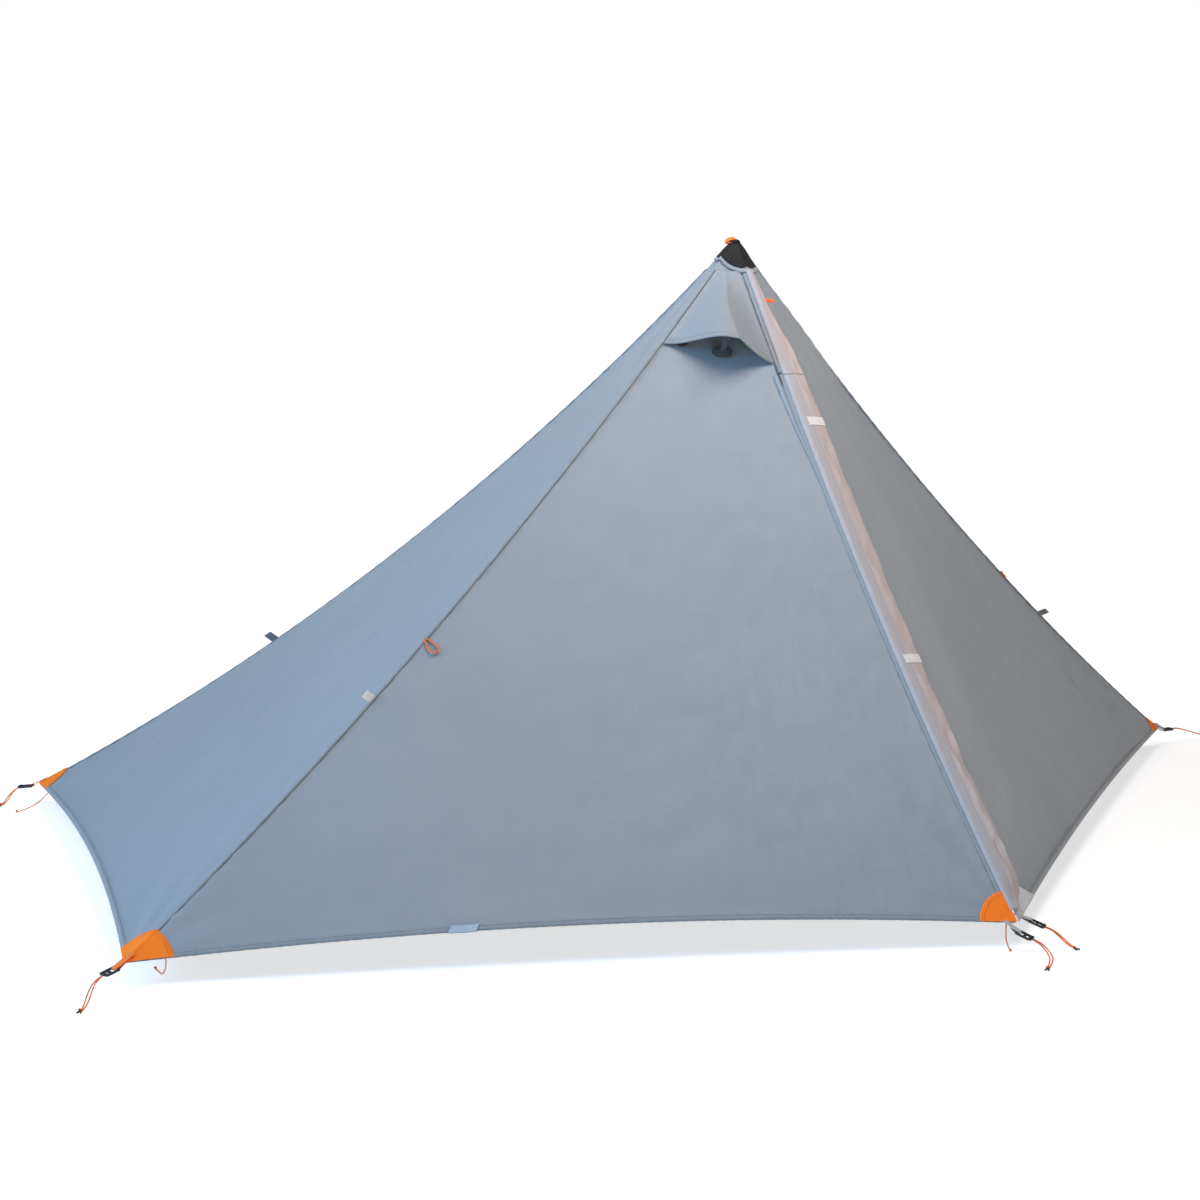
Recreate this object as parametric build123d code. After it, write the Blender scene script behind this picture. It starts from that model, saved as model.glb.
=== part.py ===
"""Single-pole pyramid tent with a zipped front door, standing on a flat floor.

The origin is the floor under the peak, where the pole's foot stands. +Z is up, the front faces -Y, and
+X is to the right of someone who faces the front. Ridges a, b, c and d run from the peak to the front
left, front right, back right and back left corners. All sizes are in millimetres.
"""
from build123d import *
import math
import os

# ---- Driving dimensions ----
PEAK = Vector(0, 0, 1310)
CORNER_Z = 45
CORNERS = {"a": (-1420, -960), "b": (280, -1050), "c": (1300, 730), "d": (-1460, 690)}
RIDGE_BOW = {"a": 53, "b": 37, "c": 50, "d": 83}  # how far each ridge sags below its chord
WALLS = {"front": "ab", "right": "bc", "back": "cd", "left": "da"}  # left and right ridge, from outside
HEM_RISE = {"front": 38, "right": 18, "back": 45, "left": 34}
CLOTH = 1.2
SEAM_HALF = 5
HEM_WIDTH = 12
CLOTH_TOP = 0.022  # where the walls end inside the peak's cap, as a share of the ridges
GAP = 0.4  # between neighbours that don't touch

ZIP_TOP, ZIP_END = 0.075, 0.965  # along ridge b, as a share of its length
FOLD_TOP = 0.205  # where the door's fold line meets ridge b
FOLD_FOOT = 0.065  # where it meets the front hem, as a share of the hem from corner a
HOOD_TOP = (0.045, 0.050)  # on ridges a and b
HOOD_BRIM = (0.149, 0.189)
BRIM_BULGE = 66
SLIDER_TOP, SLIDER_LOW = 0.088, 0.950
TAB_DISTANCE, LOOP_DISTANCE = 1380, 1204  # webbing tabs and guy loops, from the peak along a ridge

TENSIONER = (31, 23, 4.6)  # pivot to front, width, thickness
BAR_R = 2.2
STRAP = (15.4, 1.2)
STAKE_CORD_D = 2.8
TIE_CORD_D = 2.4
LOOP_CORD_D = 2.6
KNOT_R = 1.35  # a knot's radius, in diameters of its cord

UP = Vector(0, 0, 1)
parts = {}


def lerp(a, b, t):
    return a * (1 - t) + b * t


def smooth(t):
    t = min(1, max(0, t))
    return t * t * (3 - 2 * t)


class Ridge:
    """A circular arc in the upright plane through the peak and one corner."""

    def __init__(self, name):
        self.corner = Vector(*CORNERS[name], CORNER_Z)
        chord = self.corner - PEAK
        half = chord.length / 2
        bow = RIDGE_BOW[name]
        self.along = chord.normalized()
        self.out = (UP - self.along * UP.dot(self.along)).normalized()
        self.radius = (half**2 + bow**2) / (2 * bow)
        self.centre = (PEAK + self.corner) * 0.5 + self.out * (self.radius - bow)
        self.swing = math.asin(half / self.radius)
        self.axis = self.along.cross(self.out)  # a turn about it moves down the ridge

    def at(self, s):
        a = self.swing * (2 * s - 1)
        return self.centre + (self.along * math.sin(a) - self.out * math.cos(a)) * self.radius

    def tangent(self, s):
        a = self.swing * (2 * s - 1)
        return self.along * math.cos(a) + self.out * math.sin(a)


class Wall:
    """The ruled cloth between two ridges."""

    def __init__(self, name):
        self.left, self.right = (RIDGES[k] for k in WALLS[name])
        self.rise = HEM_RISE[name]

    def normal(self, s):
        tangent = self.left.tangent(s) + self.right.tangent(s)
        return tangent.cross(self.right.at(s) - self.left.at(s)).normalized()

    def inward(self, s, side):
        """In the cloth, square to the ridge on that side, pointing into the wall."""
        chord = (self.right.at(s) - self.left.at(s)).normalized()
        ridge = self.left if side == "left" else self.right
        tangent = ridge.tangent(s)
        chord = chord if side == "left" else chord * -1
        return (chord - tangent * chord.dot(tangent)).normalized()

    def point(self, s, t, height=0.0):
        return lerp(self.left.at(s), self.right.at(s), t) + self.normal(s) * height

    def hem_frame(self):
        """The two corners, the hem's direction, the way up the cloth and the normal."""
        low, high = self.left.at(1), self.right.at(1)
        along = (high - low).normalized()
        normal = self.normal(1)
        return low, high, along, normal.cross(along), normal

    def hem_point(self, t, lift=0.0):
        low, high, _, up, _ = self.hem_frame()
        return lerp(low, high, t) + up * (4 * self.rise * t * (1 - t) + lift)


RIDGES = {k: Ridge(k) for k in CORNERS}
FRONT, RIGHT, BACK, LEFT = (Wall(k) for k in ("front", "right", "back", "left"))


def solid_between(outlines):
    """A closed solid through plane outlines, each a list of corners."""
    return Solid.make_loft([Wire.make_polygon(points, close=True) for points in outlines])


def slab(wall, start, end, low, high, inset_left, inset_right, steps=7):
    """A wall's cloth from start to end down the ridges, between two heights off its middle surface."""
    outlines = []
    for i in range(steps):
        s = lerp(start, end, i / (steps - 1))
        n = wall.normal(s)
        p = wall.left.at(s) + wall.inward(s, "left") * inset_left
        q = wall.right.at(s) + wall.inward(s, "right") * inset_right
        outlines.append([p + n * low, q + n * low, q + n * high, p + n * high])
    return solid_between(outlines)


def below_hem(wall, lift):
    """A block that holds everything under the hem's arc, raised by lift."""
    low, high, along, up, normal = wall.hem_frame()
    start, end = low + up * lift, high + up * lift
    arc = Edge.make_three_point_arc(start, wall.hem_point(0.5, lift), end)
    turn = [
        end,
        end + along * 60,
        end + along * 60 - up * 200,
        start - along * 60 - up * 200,
        start - along * 60,
        start,
    ]
    lines = [Edge.make_line(p, q) for p, q in zip(turn, turn[1:])]
    face = Face(Wire([arc, *lines]))
    face = face.moved(Location(normal * -150))
    return Solid.extrude(face, normal * 300)


def one(shape):
    """The largest solid of a cut, without crumbs."""
    return max(shape.solids(), key=lambda x: x.volume)


def ridge_profile(name, s, corners):
    """A plane outline square to a ridge. Each corner is (wall or None, reach into it, height)."""
    ridge = RIDGES[name]
    p, t = ridge.at(s), ridge.tangent(s)
    left = next(w for w in (FRONT, RIGHT, BACK, LEFT) if w.right is ridge)
    right = next(w for w in (FRONT, RIGHT, BACK, LEFT) if w.left is ridge)
    ways = {"left": left.inward(s, "right"), "right": right.inward(s, "left")}
    heights = {"left": t.cross(ways["left"]) * -1, "right": t.cross(ways["right"])}
    middle = heights["left"] + heights["right"]
    middle = middle * (1 / (1 + heights["left"].dot(heights["right"])))
    points = []
    for side, reach, height in corners:
        if side == "middle":
            points.append(p + middle * height)
        else:
            points.append(p + ways[side] * reach + heights[side] * height)
    return points


def along_ridge(name, start, end, corners):
    """A profile turned about the ridge's own centre, so it follows the arc exactly."""
    ridge = RIDGES[name]
    face = Face(Wire.make_polygon(ridge_profile(name, start, corners), close=True))
    angle = math.degrees(2 * ridge.swing * (end - start))
    return Solid.revolve(face, angle, Axis(ridge.centre, ridge.axis))


def chevron(reach, low, high):
    """A folded strip over a ridge, reaching the same way into both walls."""
    return [
        ("left", reach, low),
        ("middle", 0, low),
        ("right", reach, low),
        ("right", reach, high),
        ("middle", 0, high),
        ("left", reach, high),
    ]


def ball(centre, radius, pole=UP):
    return Solid.make_sphere(radius, Plane(centre, z_dir=pole), angle1=-90, angle2=90, angle3=360)


def block(plane, x, y, z):
    """A box between the (low, high) pairs x, y and z in a plane's own directions."""
    size = [high - low for low, high in (x, y, z)]
    corner = plane.from_local_coords(Vector(x[0], y[0], z[0]))
    return Solid.make_box(*size, Plane(corner, x_dir=plane.x_dir, z_dir=plane.z_dir))


def rod(plane, radius, start, end):
    """A cylinder along a plane's z."""
    base = plane.from_local_coords(Vector(0, 0, start))
    return Solid.make_cylinder(radius, end - start, Plane(base, x_dir=plane.x_dir, z_dir=plane.z_dir))


# ---- Walls, hems and seams ----
def fold_line():
    """The door's hinge line: a point on ridge b, a point on the front hem, and the line's direction."""
    top = RIDGES["b"].at(FOLD_TOP)
    foot = FRONT.hem_point(FOLD_FOOT)
    return top, foot, (foot - top).normalized()


def beside_fold(side, gap):
    """A block holding the front wall on one side of the fold line: +1 is the door's side."""
    top, foot, way = fold_line()
    normal = FRONT.normal(0.6)
    normal = (normal - way * normal.dot(way)).normalized()
    plane = Plane(top, x_dir=way, z_dir=normal)
    across = FRONT.right.at(1) - top
    sign = side if plane.y_dir.dot(across) > 0 else -side
    y = (gap, 2500) if sign > 0 else (-2500, -gap)
    return block(plane, (-600, 2700), y, (-200, 200))


def hemmed_cloth(wall, inset_left, inset_right):
    """A wall's cloth down to its hem's arc, with the hem's folds thicker than the rest."""
    half = CLOTH / 2
    cloth = slab(wall, CLOTH_TOP, 1, -half, half, inset_left, inset_right)
    fold = slab(wall, 0.8, 1, -1, 1, inset_left, inset_right) & below_hem(wall, HEM_WIDTH)
    return cloth + fold - below_hem(wall, 0)


def make_walls():
    seam = SEAM_HALF + GAP
    parts["left_panel"] = one(hemmed_cloth(LEFT, seam, seam))
    parts["back_panel"] = one(hemmed_cloth(BACK, seam, seam))
    corner = ball(RIDGES["b"].corner, 56)
    parts["right_panel"] = one(hemmed_cloth(RIGHT, 17, seam) - corner)
    web = slab(RIGHT, 0.93, 1, -0.8, 0.8, 4, seam) & ball(RIDGES["b"].corner, 55)
    parts["right_corner_web"] = one(web - below_hem(RIGHT, 0) - below_zip())


def below_zip():
    """A block at ridge b that holds the zip's lower end."""
    return along_ridge("b", 0.93, ZIP_END + 0.002, chevron(17, -6, 6))


def make_front():
    cloth = hemmed_cloth(FRONT, SEAM_HALF + GAP, 12)
    parts["front_fixed_panel"] = one(cloth - beside_fold(1, 0) - vent_window(0))
    parts["door_panel"] = one(cloth - beside_fold(-1, -1.5))
    plane = Plane(FRONT.hem_point(0.36, 5), x_dir=FRONT.hem_frame()[2], z_dir=FRONT.normal(1))
    parts["hem_label"] = block(plane, (-27, 27), (-9, 9), (1.2, 1.8))


def vent_window(grow):
    """A block through the front wall where the vent opens under the hood."""
    corners = [FRONT.point(s, t) for s, t in ((0.07, 0.24), (0.07, 0.74), (0.125, 0.84), (0.125, 0.14))]
    middle = sum(corners, Vector()) * 0.25
    normal = FRONT.normal(0.1)
    flat = [p + (p - middle).normalized() * grow for p in corners]
    flat = [p - normal * (p - middle).dot(normal) for p in flat]
    face = Face(Wire.make_polygon([p - normal * 30 for p in flat], close=True))
    return Solid.extrude(face, normal * 60)


def make_seams():
    for name in "acd":
        strip = along_ridge(name, 0.055, 0.995, chevron(SEAM_HALF, -0.9, 0.9))
        parts[f"ridge_seam_{name}"] = strip


# ---- Peak ----
def ridge_at_height(name, z):
    """The ridge's point at a height, by halving."""
    low, high = 0.0, 1.0
    for _ in range(40):
        middle = (low + high) / 2
        low, high = (middle, high) if RIDGES[name].at(middle).Z > z else (low, middle)
    return RIDGES[name].at(low)


def level_outline(z, grow):
    """The tent's outline at a height, grown sideways."""
    corners = [ridge_at_height(k, z) for k in "abcd"]
    face = Face(Wire.make_polygon(corners, close=True))
    return offset(face, grow, kind=Kind.INTERSECTION).faces()[0].outer_wire()


def make_peak():
    outer = Solid.make_loft([level_outline(1249, 3.4), level_outline(1303, 3.4)])
    inner = Solid.make_loft([level_outline(1248, 1.7), level_outline(1299, 1.7)])
    parts["peak_cap"] = one(outer - inner)
    cup = Solid.make_loft([level_outline(1238, -3.2), level_outline(1277, -3.2)])
    parts["pole_cup"] = cup - rod(Plane.XY, 9.0, 1230, 1268)
    top = Vector(0, 0, 1303)
    loop = rod(Plane(top + Vector(-4, 0, 9), x_dir=(1, 0, 0), z_dir=(0, 1, 0)), 9, -5, 5)
    loop -= rod(Plane(top + Vector(-4, 0, 9), x_dir=(1, 0, 0), z_dir=(0, 1, 0)), 7.6, -6, 6)
    parts["peak_loop"] = one(loop - block(Plane(top), (-40, 40), (-20, 20), (-20, 0)))


# ---- Pole ----
def make_pole():
    xy = Plane.XY
    parts["pole_upper_tube"] = rod(xy, 8.8, 640, 1240) - rod(xy, 8.2, 630, 1250)
    plug = rod(xy, 8.2, 1210, 1240) + rod(xy, 8.8, 1240, 1244) + rod(xy, 7.5, 1244, 1266)
    parts["pole_top_plug"] = one(plug)
    parts["pole_lower_tube"] = rod(xy, 7.4, 14, 790) - rod(xy, 6.6, 26, 800)
    parts["pole_bush"] = rod(xy, 8.2, 641, 675) - rod(xy, 7.45, 630, 690)
    foot = rod(xy, 13, 0, 6) + rod(xy, 9.5, 6, 30)
    foot = foot.chamfer(1.5, None, foot.edges().filter_by(GeomType.CIRCLE).group_by(Axis.Z)[0])
    parts["pole_foot"] = one(foot - rod(xy, 7.4, 14, 40))
    pin = Vector(20, 0, 0)
    ears = block(xy, (8, 20), (-4, 4), (606, 611)) + block(xy, (8, 20), (-4, 4), (626, 631))
    ears += rod(Plane(pin), 4, 606, 611) + rod(Plane(pin), 4, 626, 631)
    collar = rod(xy, 14, 604, 639.6) + ears
    collar -= rod(Plane(pin), 4.6, 611, 626)
    collar -= rod(xy, 8.8, 631, 650)
    parts["clamp_collar"] = one(collar - rod(xy, 7.6, 600, 640))
    parts["clamp_pin"] = rod(Plane(pin), 1.5, 604.5, 632.5)
    parts["clamp_collar"] = one(parts["clamp_collar"] - rod(Plane(pin), 1.5, 600, 640))
    lever = rod(xy, 17.6, 611.6, 625.4) - rod(xy, 14.6, 600, 640)
    lever = lever & block(xy, (-20, 18.6), (3, 30), (600, 640))
    lever += rod(Plane(pin), 4, 611.6, 625.4)
    lever += block(xy, (14.2, 18.8), (2, 6), (611.6, 625.4))
    lever += block(xy, (-18, -15), (3, 12), (611.6, 625.4))
    parts["clamp_lever"] = one(lever - rod(Plane(pin), 1.55, 600, 640))


# ---- Zip and storm flap on ridge b ----
def strip_profile(side, start, end, low, high):
    return [(side, start, low), (side, end, low), (side, end, high), (side, start, high)]


def zip_half(side, start, end, reach):
    """Half of the zip: its tape and the coil on the tape's edge."""
    tape = along_ridge("b", start, end, strip_profile(side, 3.6, reach, -0.35, 0.35))
    return one(tape + along_ridge("b", start, end, strip_profile(side, 1.7, 4, -1.1, 1.1)))


def make_zip():
    for name, start, end in (("top", ZIP_TOP, FOLD_TOP - 0.002), ("door", FOLD_TOP + 0.002, ZIP_END)):
        parts[f"zip_{name}_half"] = zip_half("left", start, end, 11.5)
    parts["zip_wall_half"] = zip_half("right", ZIP_TOP, ZIP_END, 16.4)
    for name, s in (("top", SLIDER_TOP), ("low", SLIDER_LOW)):
        parts[f"zip_slider_{name}"] = slider(s)
        parts[f"zip_pull_{name}"] = zip_pull(s)


def wall_frame(name, s):
    """A plane on ridge b: x into the wall on its right, z outward, y down the ridge."""
    points = ridge_profile(name, s, [("right", 0, 0), ("right", 1, 0), ("right", 0, 1)])
    return Plane(points[0], x_dir=points[1] - points[0], z_dir=points[2] - points[0])


def slider(s):
    """Two plates with a web between them, round the wall's half of the coil."""
    frame = wall_frame("b", s)
    top = block(frame, (0.7, 9), (-7, 7), (1.5, 2.8))
    low = block(frame, (0.7, 9), (-7, 7), (-2.8, -1.5))
    web = block(frame, (0.7, 1.2), (-7, 7), (-2.8, 2.8))
    return one(top + low + web)


def zip_pull(s):
    """A short tab on the slider's upper plate, lying over the wall."""
    frame = wall_frame("b", s)
    return one(block(frame, (2, 9.5), (-2.5, 2.5), (2.8, 3.8)) + block(frame, (9.5, 34), (-4, 4), (1.8, 3.8)))


def flap_edge(s):
    """How far the flap's free edge reaches past the ridge, and how far it stands off the right wall."""
    reach = lerp(18, 46, smooth((s - 0.04) / 0.22))
    return reach, 5 + 26 * smooth((s - 0.03) / 0.2) * (1 - smooth((s - 0.93) / 0.07))


def flap_outline(s):
    """The flap leaves the door's edge, goes over the zip and slopes away past the ridge."""
    reach, height = flap_edge(s)
    low = [("left", 15, 1.4), ("middle", 0, 7.5), ("right", reach / 2, (7.5 + height) / 2 + 2), ("right", reach, height)]
    high = [(side, across, up + CLOTH) for side, across, up in low]
    return ridge_profile("b", s, low + high[::-1])


def make_flap():
    for name, start, end in (("storm_flap_top", 0.056, FOLD_TOP - 0.010), ("storm_flap", FOLD_TOP + 0.022, 0.945)):
        parts[name] = solid_between([flap_outline(lerp(start, end, i / 7)) for i in range(8)])
    tabs, pads = [], []
    for s in (0.279, 0.63):
        reach, height = flap_edge(s)
        middle = (7.5 + height) / 2 + 2
        corners = [
            ("right", reach / 2, middle + 1.7),
            ("right", reach - 1, height + 1.7),
            ("right", reach - 1, height + 2.7),
            ("right", reach / 2, middle + 2.7),
        ]
        half = 7 / RIDGES["b"].radius / (2 * RIDGES["b"].swing)
        tabs.append(along_ridge("b", s - half, s + half, corners))
        pad = strip_profile("right", reach - 14, reach - 2, 0.8, 1.5)
        pads.append(along_ridge("b", s - half, s + half, pad))
    parts["flap_tabs"] = Compound(children=tabs)
    parts["flap_pads"] = Compound(children=pads)


# ---- Vent hood ----
def hood_outline(u, low, high):
    """The hood's arched section, from its top edge at u = 0 to the brim at u = 1."""
    s_left = lerp(HOOD_TOP[0], HOOD_BRIM[0], u)
    s_right = lerp(HOOD_TOP[1], HOOD_BRIM[1], u)
    normal = FRONT.normal((s_left + s_right) / 2)
    p = RIDGES["a"].at(s_left) + FRONT.inward(s_left, "left") * 7
    q = RIDGES["b"].at(s_right) + FRONT.inward(s_right, "right") * 17
    middle = (p + q) * 0.5 + normal * (2 + (BRIM_BULGE - 2) * u**1.3)
    arcs = []
    for height in (low, high):
        lift = normal * height
        arcs.append(Edge.make_three_point_arc(p + lift, middle + lift, q + lift))
    ends = [Edge.make_line(p + normal * low, p + normal * high)]
    ends.append(Edge.make_line(q + normal * low, q + normal * high))
    return Wire([*arcs, *ends])


def make_hood():
    parts["vent_hood"] = Solid.make_loft([hood_outline(u, 1.6, 2.8) for u in (0, 0.35, 0.7, 1)])
    parts["hood_brim_stiffener"] = Solid.make_loft([hood_outline(u, 3.1, 4.3) for u in (0.94, 0.97, 1)])
    mesh = slab(FRONT, 0.055, 0.14, -1.3, -0.8, 8, 13, steps=3)
    parts["vent_mesh"] = one(mesh & vent_window(8))
    frame = strut_frame()
    ring = rod(sideways(frame), 3.4, -5, 5) - rod(sideways(frame), 2.4, -6, 6)
    parts["strut_keeper"] = one(ring)
    strut = rod(sideways(frame), 1.9, -8, 8) + block(frame, (-8, -6), (-0.9, 0.9), (-45.4, 0))
    strut += block(frame, (6, 8), (-0.9, 0.9), (-45.4, 0)) + block(frame, (-8, 8), (-0.9, 0.9), (-45.4, -8))
    parts["vent_strut"] = one(strut + block(frame, (-17, 17), (-10, 10), (-47.4, -45.4)))
    side = Plane(FRONT.point(0.146, 0.22, 1), x_dir=frame.x_dir, z_dir=frame.z_dir)
    pads = [block(frame, (-20, 20), (-13, 13), (-51, -49.2)), block(side, (-12, 12), (-7, 7), (0, 1.6))]
    parts["vent_pads"] = Compound(children=pads)


def strut_frame():
    """The strut's pivot under the brim: x along the brim, y up the wall, z square to the wall."""
    foot = FRONT.point(0.158, 0.5, 0)
    normal = FRONT.normal(0.158)
    along = (FRONT.right.at(0.158) - FRONT.left.at(0.158)).normalized()
    return Plane(foot + normal * 52, x_dir=along, z_dir=normal)


def sideways(frame):
    """The same place with z along the frame's x."""
    return Plane(frame.origin, x_dir=frame.y_dir, z_dir=frame.x_dir)


# ---- Corners: patches, straps, tensioners ----
def heading(degrees_round, degrees_down):
    round_, down = math.radians(degrees_round), math.radians(degrees_down)
    level = math.cos(down)
    return Vector(level * math.cos(round_), level * math.sin(round_), -math.sin(down))


# Each line is a strap on a corner and the tensioner on it: pivot, the way it points and how far it dips.
LINES = {
    "a": {"pivot": (-1437, -972, 38), "round": 214, "dip": 12, "back": 46},
    "b_door": {"pivot": (270, -1082, 35), "round": -42, "dip": 20, "back": 34},
    "b_wall": {"pivot": (312, -1034, 44), "round": -28, "dip": 22, "back": 34},
    "c": {"pivot": (1318, 740, 40), "round": 29.3, "dip": 4, "back": 40},
    "d": {"pivot": (-1478, 699, 40), "round": 154.7, "dip": 8, "back": 40},
}
STRAP_SLOPE = {"a": 29, "b_door": 34, "b_wall": 20, "c": 32, "d": 28}


def line_frame(line, dip):
    """x points the way the line pulls, y is level, and z is up from them."""
    way = heading(line["round"], dip)
    side = UP.cross(way).normalized()
    return Plane(Vector(*line["pivot"]), x_dir=way, z_dir=way.cross(side))


def tensioner(line):
    frame = line_frame(line, line["dip"])
    length, width, thick = TENSIONER
    half, flat = width / 2, thick / 2
    body = block(frame, (0, length), (-half, half), (-flat, flat))
    body -= block(frame, (-1, 12), (-8, 8), (-9, 9)) + block(frame, (16.5, 23.5), (-8, 8), (-9, 9))
    bar = Plane(frame.origin, x_dir=frame.x_dir, z_dir=frame.y_dir)
    body += rod(bar, BAR_R, -half, half)
    for side in (-1, 1):
        nose = frame.from_local_coords(Vector(length, side * half, 0))
        body -= block(Plane(nose, x_dir=frame.x_dir, z_dir=frame.z_dir).rotated((0, 0, 45)), (-4, 4), (-4, 4), (-9, 9))
    return one(body)


def strap(name, line):
    """Webbing that comes off the corner and turns round the tensioner's bar."""
    frame = line_frame(line, STRAP_SLOPE[name])
    bar = Plane(frame.origin, x_dir=frame.x_dir, z_dir=frame.y_dir)
    width, thick = STRAP
    loop = rod(bar, 3.9, -width / 2, width / 2) - rod(bar, 2.7, -width, width)
    tail = block(frame, (-line["back"], -3), (-width / 2, width / 2), (-thick / 2, thick / 2))
    return one(loop + tail)


def make_corners():
    patches = []
    for name, radius in (("a", 92), ("c", 62), ("d", 80)):
        outlines = [ridge_profile(name, s, chevron(110, 2.0, 2.8)) for s in (0.93, 0.965, 1)]
        wings = solid_between(outlines) & ball(RIDGES[name].corner, radius)
        for wall in (FRONT, RIGHT, BACK, LEFT):
            if RIDGES[name] in (wall.left, wall.right):
                wings -= below_hem(wall, 0)
        patches.append(one(wings))
    parts["corner_patches"] = Compound(children=patches)
    patch = slab(FRONT, 0.93, 1, 1.8, 2.6, 400, 3, steps=3) & ball(RIDGES["b"].corner, 74)
    parts["door_corner_patch"] = one(patch - below_hem(FRONT, 0))
    straps = {name: strap(name, line) for name, line in LINES.items()}
    parts["orange_straps"] = Compound(children=[straps["a"], straps["d"]])
    parts["grey_straps"] = Compound(children=[straps["b_wall"], straps["c"]])
    parts["door_strap"] = straps["b_door"]
    for name, line in LINES.items():
        parts[f"tensioner_{name}"] = tensioner(line)


# ---- Ridge fittings ----
def make_ridge_fittings():
    tabs = []
    for name in "acd":
        ridge = RIDGES[name]
        s = TAB_DISTANCE / (ridge.corner - PEAK).length
        plane = Plane(ridge.at(s), x_dir=ridge.tangent(s), z_dir=ridge.out)
        tabs.append(block(plane, (-9, 9), (-0.8, 0.8), (1.7, 24)))
    parts["ridge_tabs"] = Compound(children=tabs)


# ---- Cords ----
def front_of(name):
    """The middle of a tensioner's front face, and the way it points."""
    frame = line_frame(LINES[name], LINES[name]["dip"])
    return frame.from_local_coords(Vector(TENSIONER[0], 0, 0)), frame.x_dir


STAKE_ROUTES = {
    "a": [(-1478, -990, 22), (-1490, -1012, 9), (-1498, -1044, 2.2), (-1504, -1080, 1.5), (-1513, -1113, 1.6)],
    "b_door": [(303, -1112, 18), (309, -1133, 7), (305, -1162, 2), (289, -1198, 1.5), (274, -1230, 1.6)],
    "b_wall": [(349, -1052, 28), (362, -1062, 15), (371, -1079, 4), (377, -1100, 1.5)],
    "c": [(1360, 763, 38), (1382, 772, 33), (1420, 781, 20), (1462, 786, 7), (1505, 797, 1.8), (1540, 815, 1.5)],
    "d": [(-1518, 715, 27), (-1532, 712, 14), (-1541, 697, 4), (-1550, 680, 1.5)],
}
TIE_ROUTES = {
    "a": [(-1342, -948, 49), (-1341, -943, 36), (-1342, -930, 18), (-1345, -904, 4), (-1347, -876, 1.3), (-1352, -850, 1.2)],
    "b": [(262, -1036, 44), (260, -1040, 30), (256, -1052, 15), (254, -1071, 4), (251, -1092, 1.2)],
    "c": [(1262, 718, 56), (1256, 712, 38), (1240, 700, 17), (1214, 690, 4), (1184, 688, 1.2)],
    "d": [(-1436, 622, 47), (-1448, 618, 36), (-1466, 612, 20), (-1492, 607, 6), (-1519, 600, 1.2)],
}


def cord(name, route, diameter, knotted=False):
    """A tube of straight runs and tangent arcs, with a knot on its end. Prints its radii, length and fill."""
    points = [Vector(*p) for p in route]
    runs = [(q - p).length for p, q in zip(points, points[1:])]
    radii = []
    for before, after, p, q, r in zip(runs, runs[1:], points, points[1:], points[2:]):
        turn = math.radians((q - p).get_angle(r - q))
        radii.append(0.45 * min(before, after) / math.tan(turn / 2))
    path = FilletPolyline(*points, radius=radii)
    start = Plane(points[0], z_dir=points[1] - points[0])
    tube = sweep(start * Circle(diameter / 2), path=path)
    ratio = tube.volume / (math.pi * diameter**2 / 4 * path.length)
    print(name, "radii", [round(r) for r in radii], "length", round(path.length), "fill", round(ratio, 3))
    tube = tube.solids()[0]
    if knotted:
        radius = KNOT_R * diameter
        tube += ball(Vector(*route[-1][:2], radius + 0.1), radius, pole=points[-1] - points[-2])
    parts[name] = one(tube)


def guy_loop(name, wall, side, lift):
    """A teardrop of cord sewn into a ridge, lying out over the wall beside it."""
    ridge = RIDGES[name]
    s = LOOP_DISTANCE / (ridge.corner - PEAK).length
    normal = wall.normal(s)
    inward = wall.inward(s, side)
    slope = (normal * UP.dot(normal) - UP).normalized()
    way = (inward * 0.75 + slope * 0.55).normalized()
    across = normal.cross(way)
    base = ridge.at(s) + normal * 2.3
    return [tuple(base + way * x + across * y + normal * z * lift) for x, y, z in LOOP_SHAPE]


# A loop's points: out over the wall, across it, and off it as a share of its lift.
LOOP_SHAPE = [(1, -3, 0), (9, -4.5, 0.3), (19, -9, 0.7), (31, -10, 1), (39, -5, 1), (40, 4, 1), (32, 10, 1)]
LOOP_SHAPE += [(20, 9, 0.7), (9, 4.5, 0.3), (1, 3, 0)]


def make_cords():
    for name, route in STAKE_ROUTES.items():
        start, _ = front_of(name)
        cord(f"stake_cord_{name}", [tuple(start), *route], STAKE_CORD_D, knotted=True)
    for name, route in TIE_ROUTES.items():
        cord(f"tie_cord_{name}", route, TIE_CORD_D, knotted=True)
    cord("guy_loop_a", guy_loop("a", FRONT, "left", 3), LOOP_CORD_D)
    cord("guy_loop_c", guy_loop("c", BACK, "left", 12), LOOP_CORD_D)


def main():
    make_walls()
    make_front()
    make_seams()
    make_peak()
    make_pole()
    make_zip()
    make_flap()
    make_hood()
    make_corners()
    make_ridge_fittings()
    make_cords()
    os.makedirs("parts", exist_ok=True)
    for name, shape in parts.items():
        export_step(shape, f"parts/{name}.step")
    print(len(parts), "parts")


main()
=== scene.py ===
"""Looks for the pyramid tent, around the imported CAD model. Metres, +Z up, the front faces -Y.

The origin is the floor under the peak. Ridges a, b, c and d run from the peak to the front left, front
right, back right and back left corners. A sheet's UVs are metres over its own cloth: U across, V down.
"""
import bmesh
import bpy
import math
from mathutils import Matrix, Vector, noise


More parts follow.
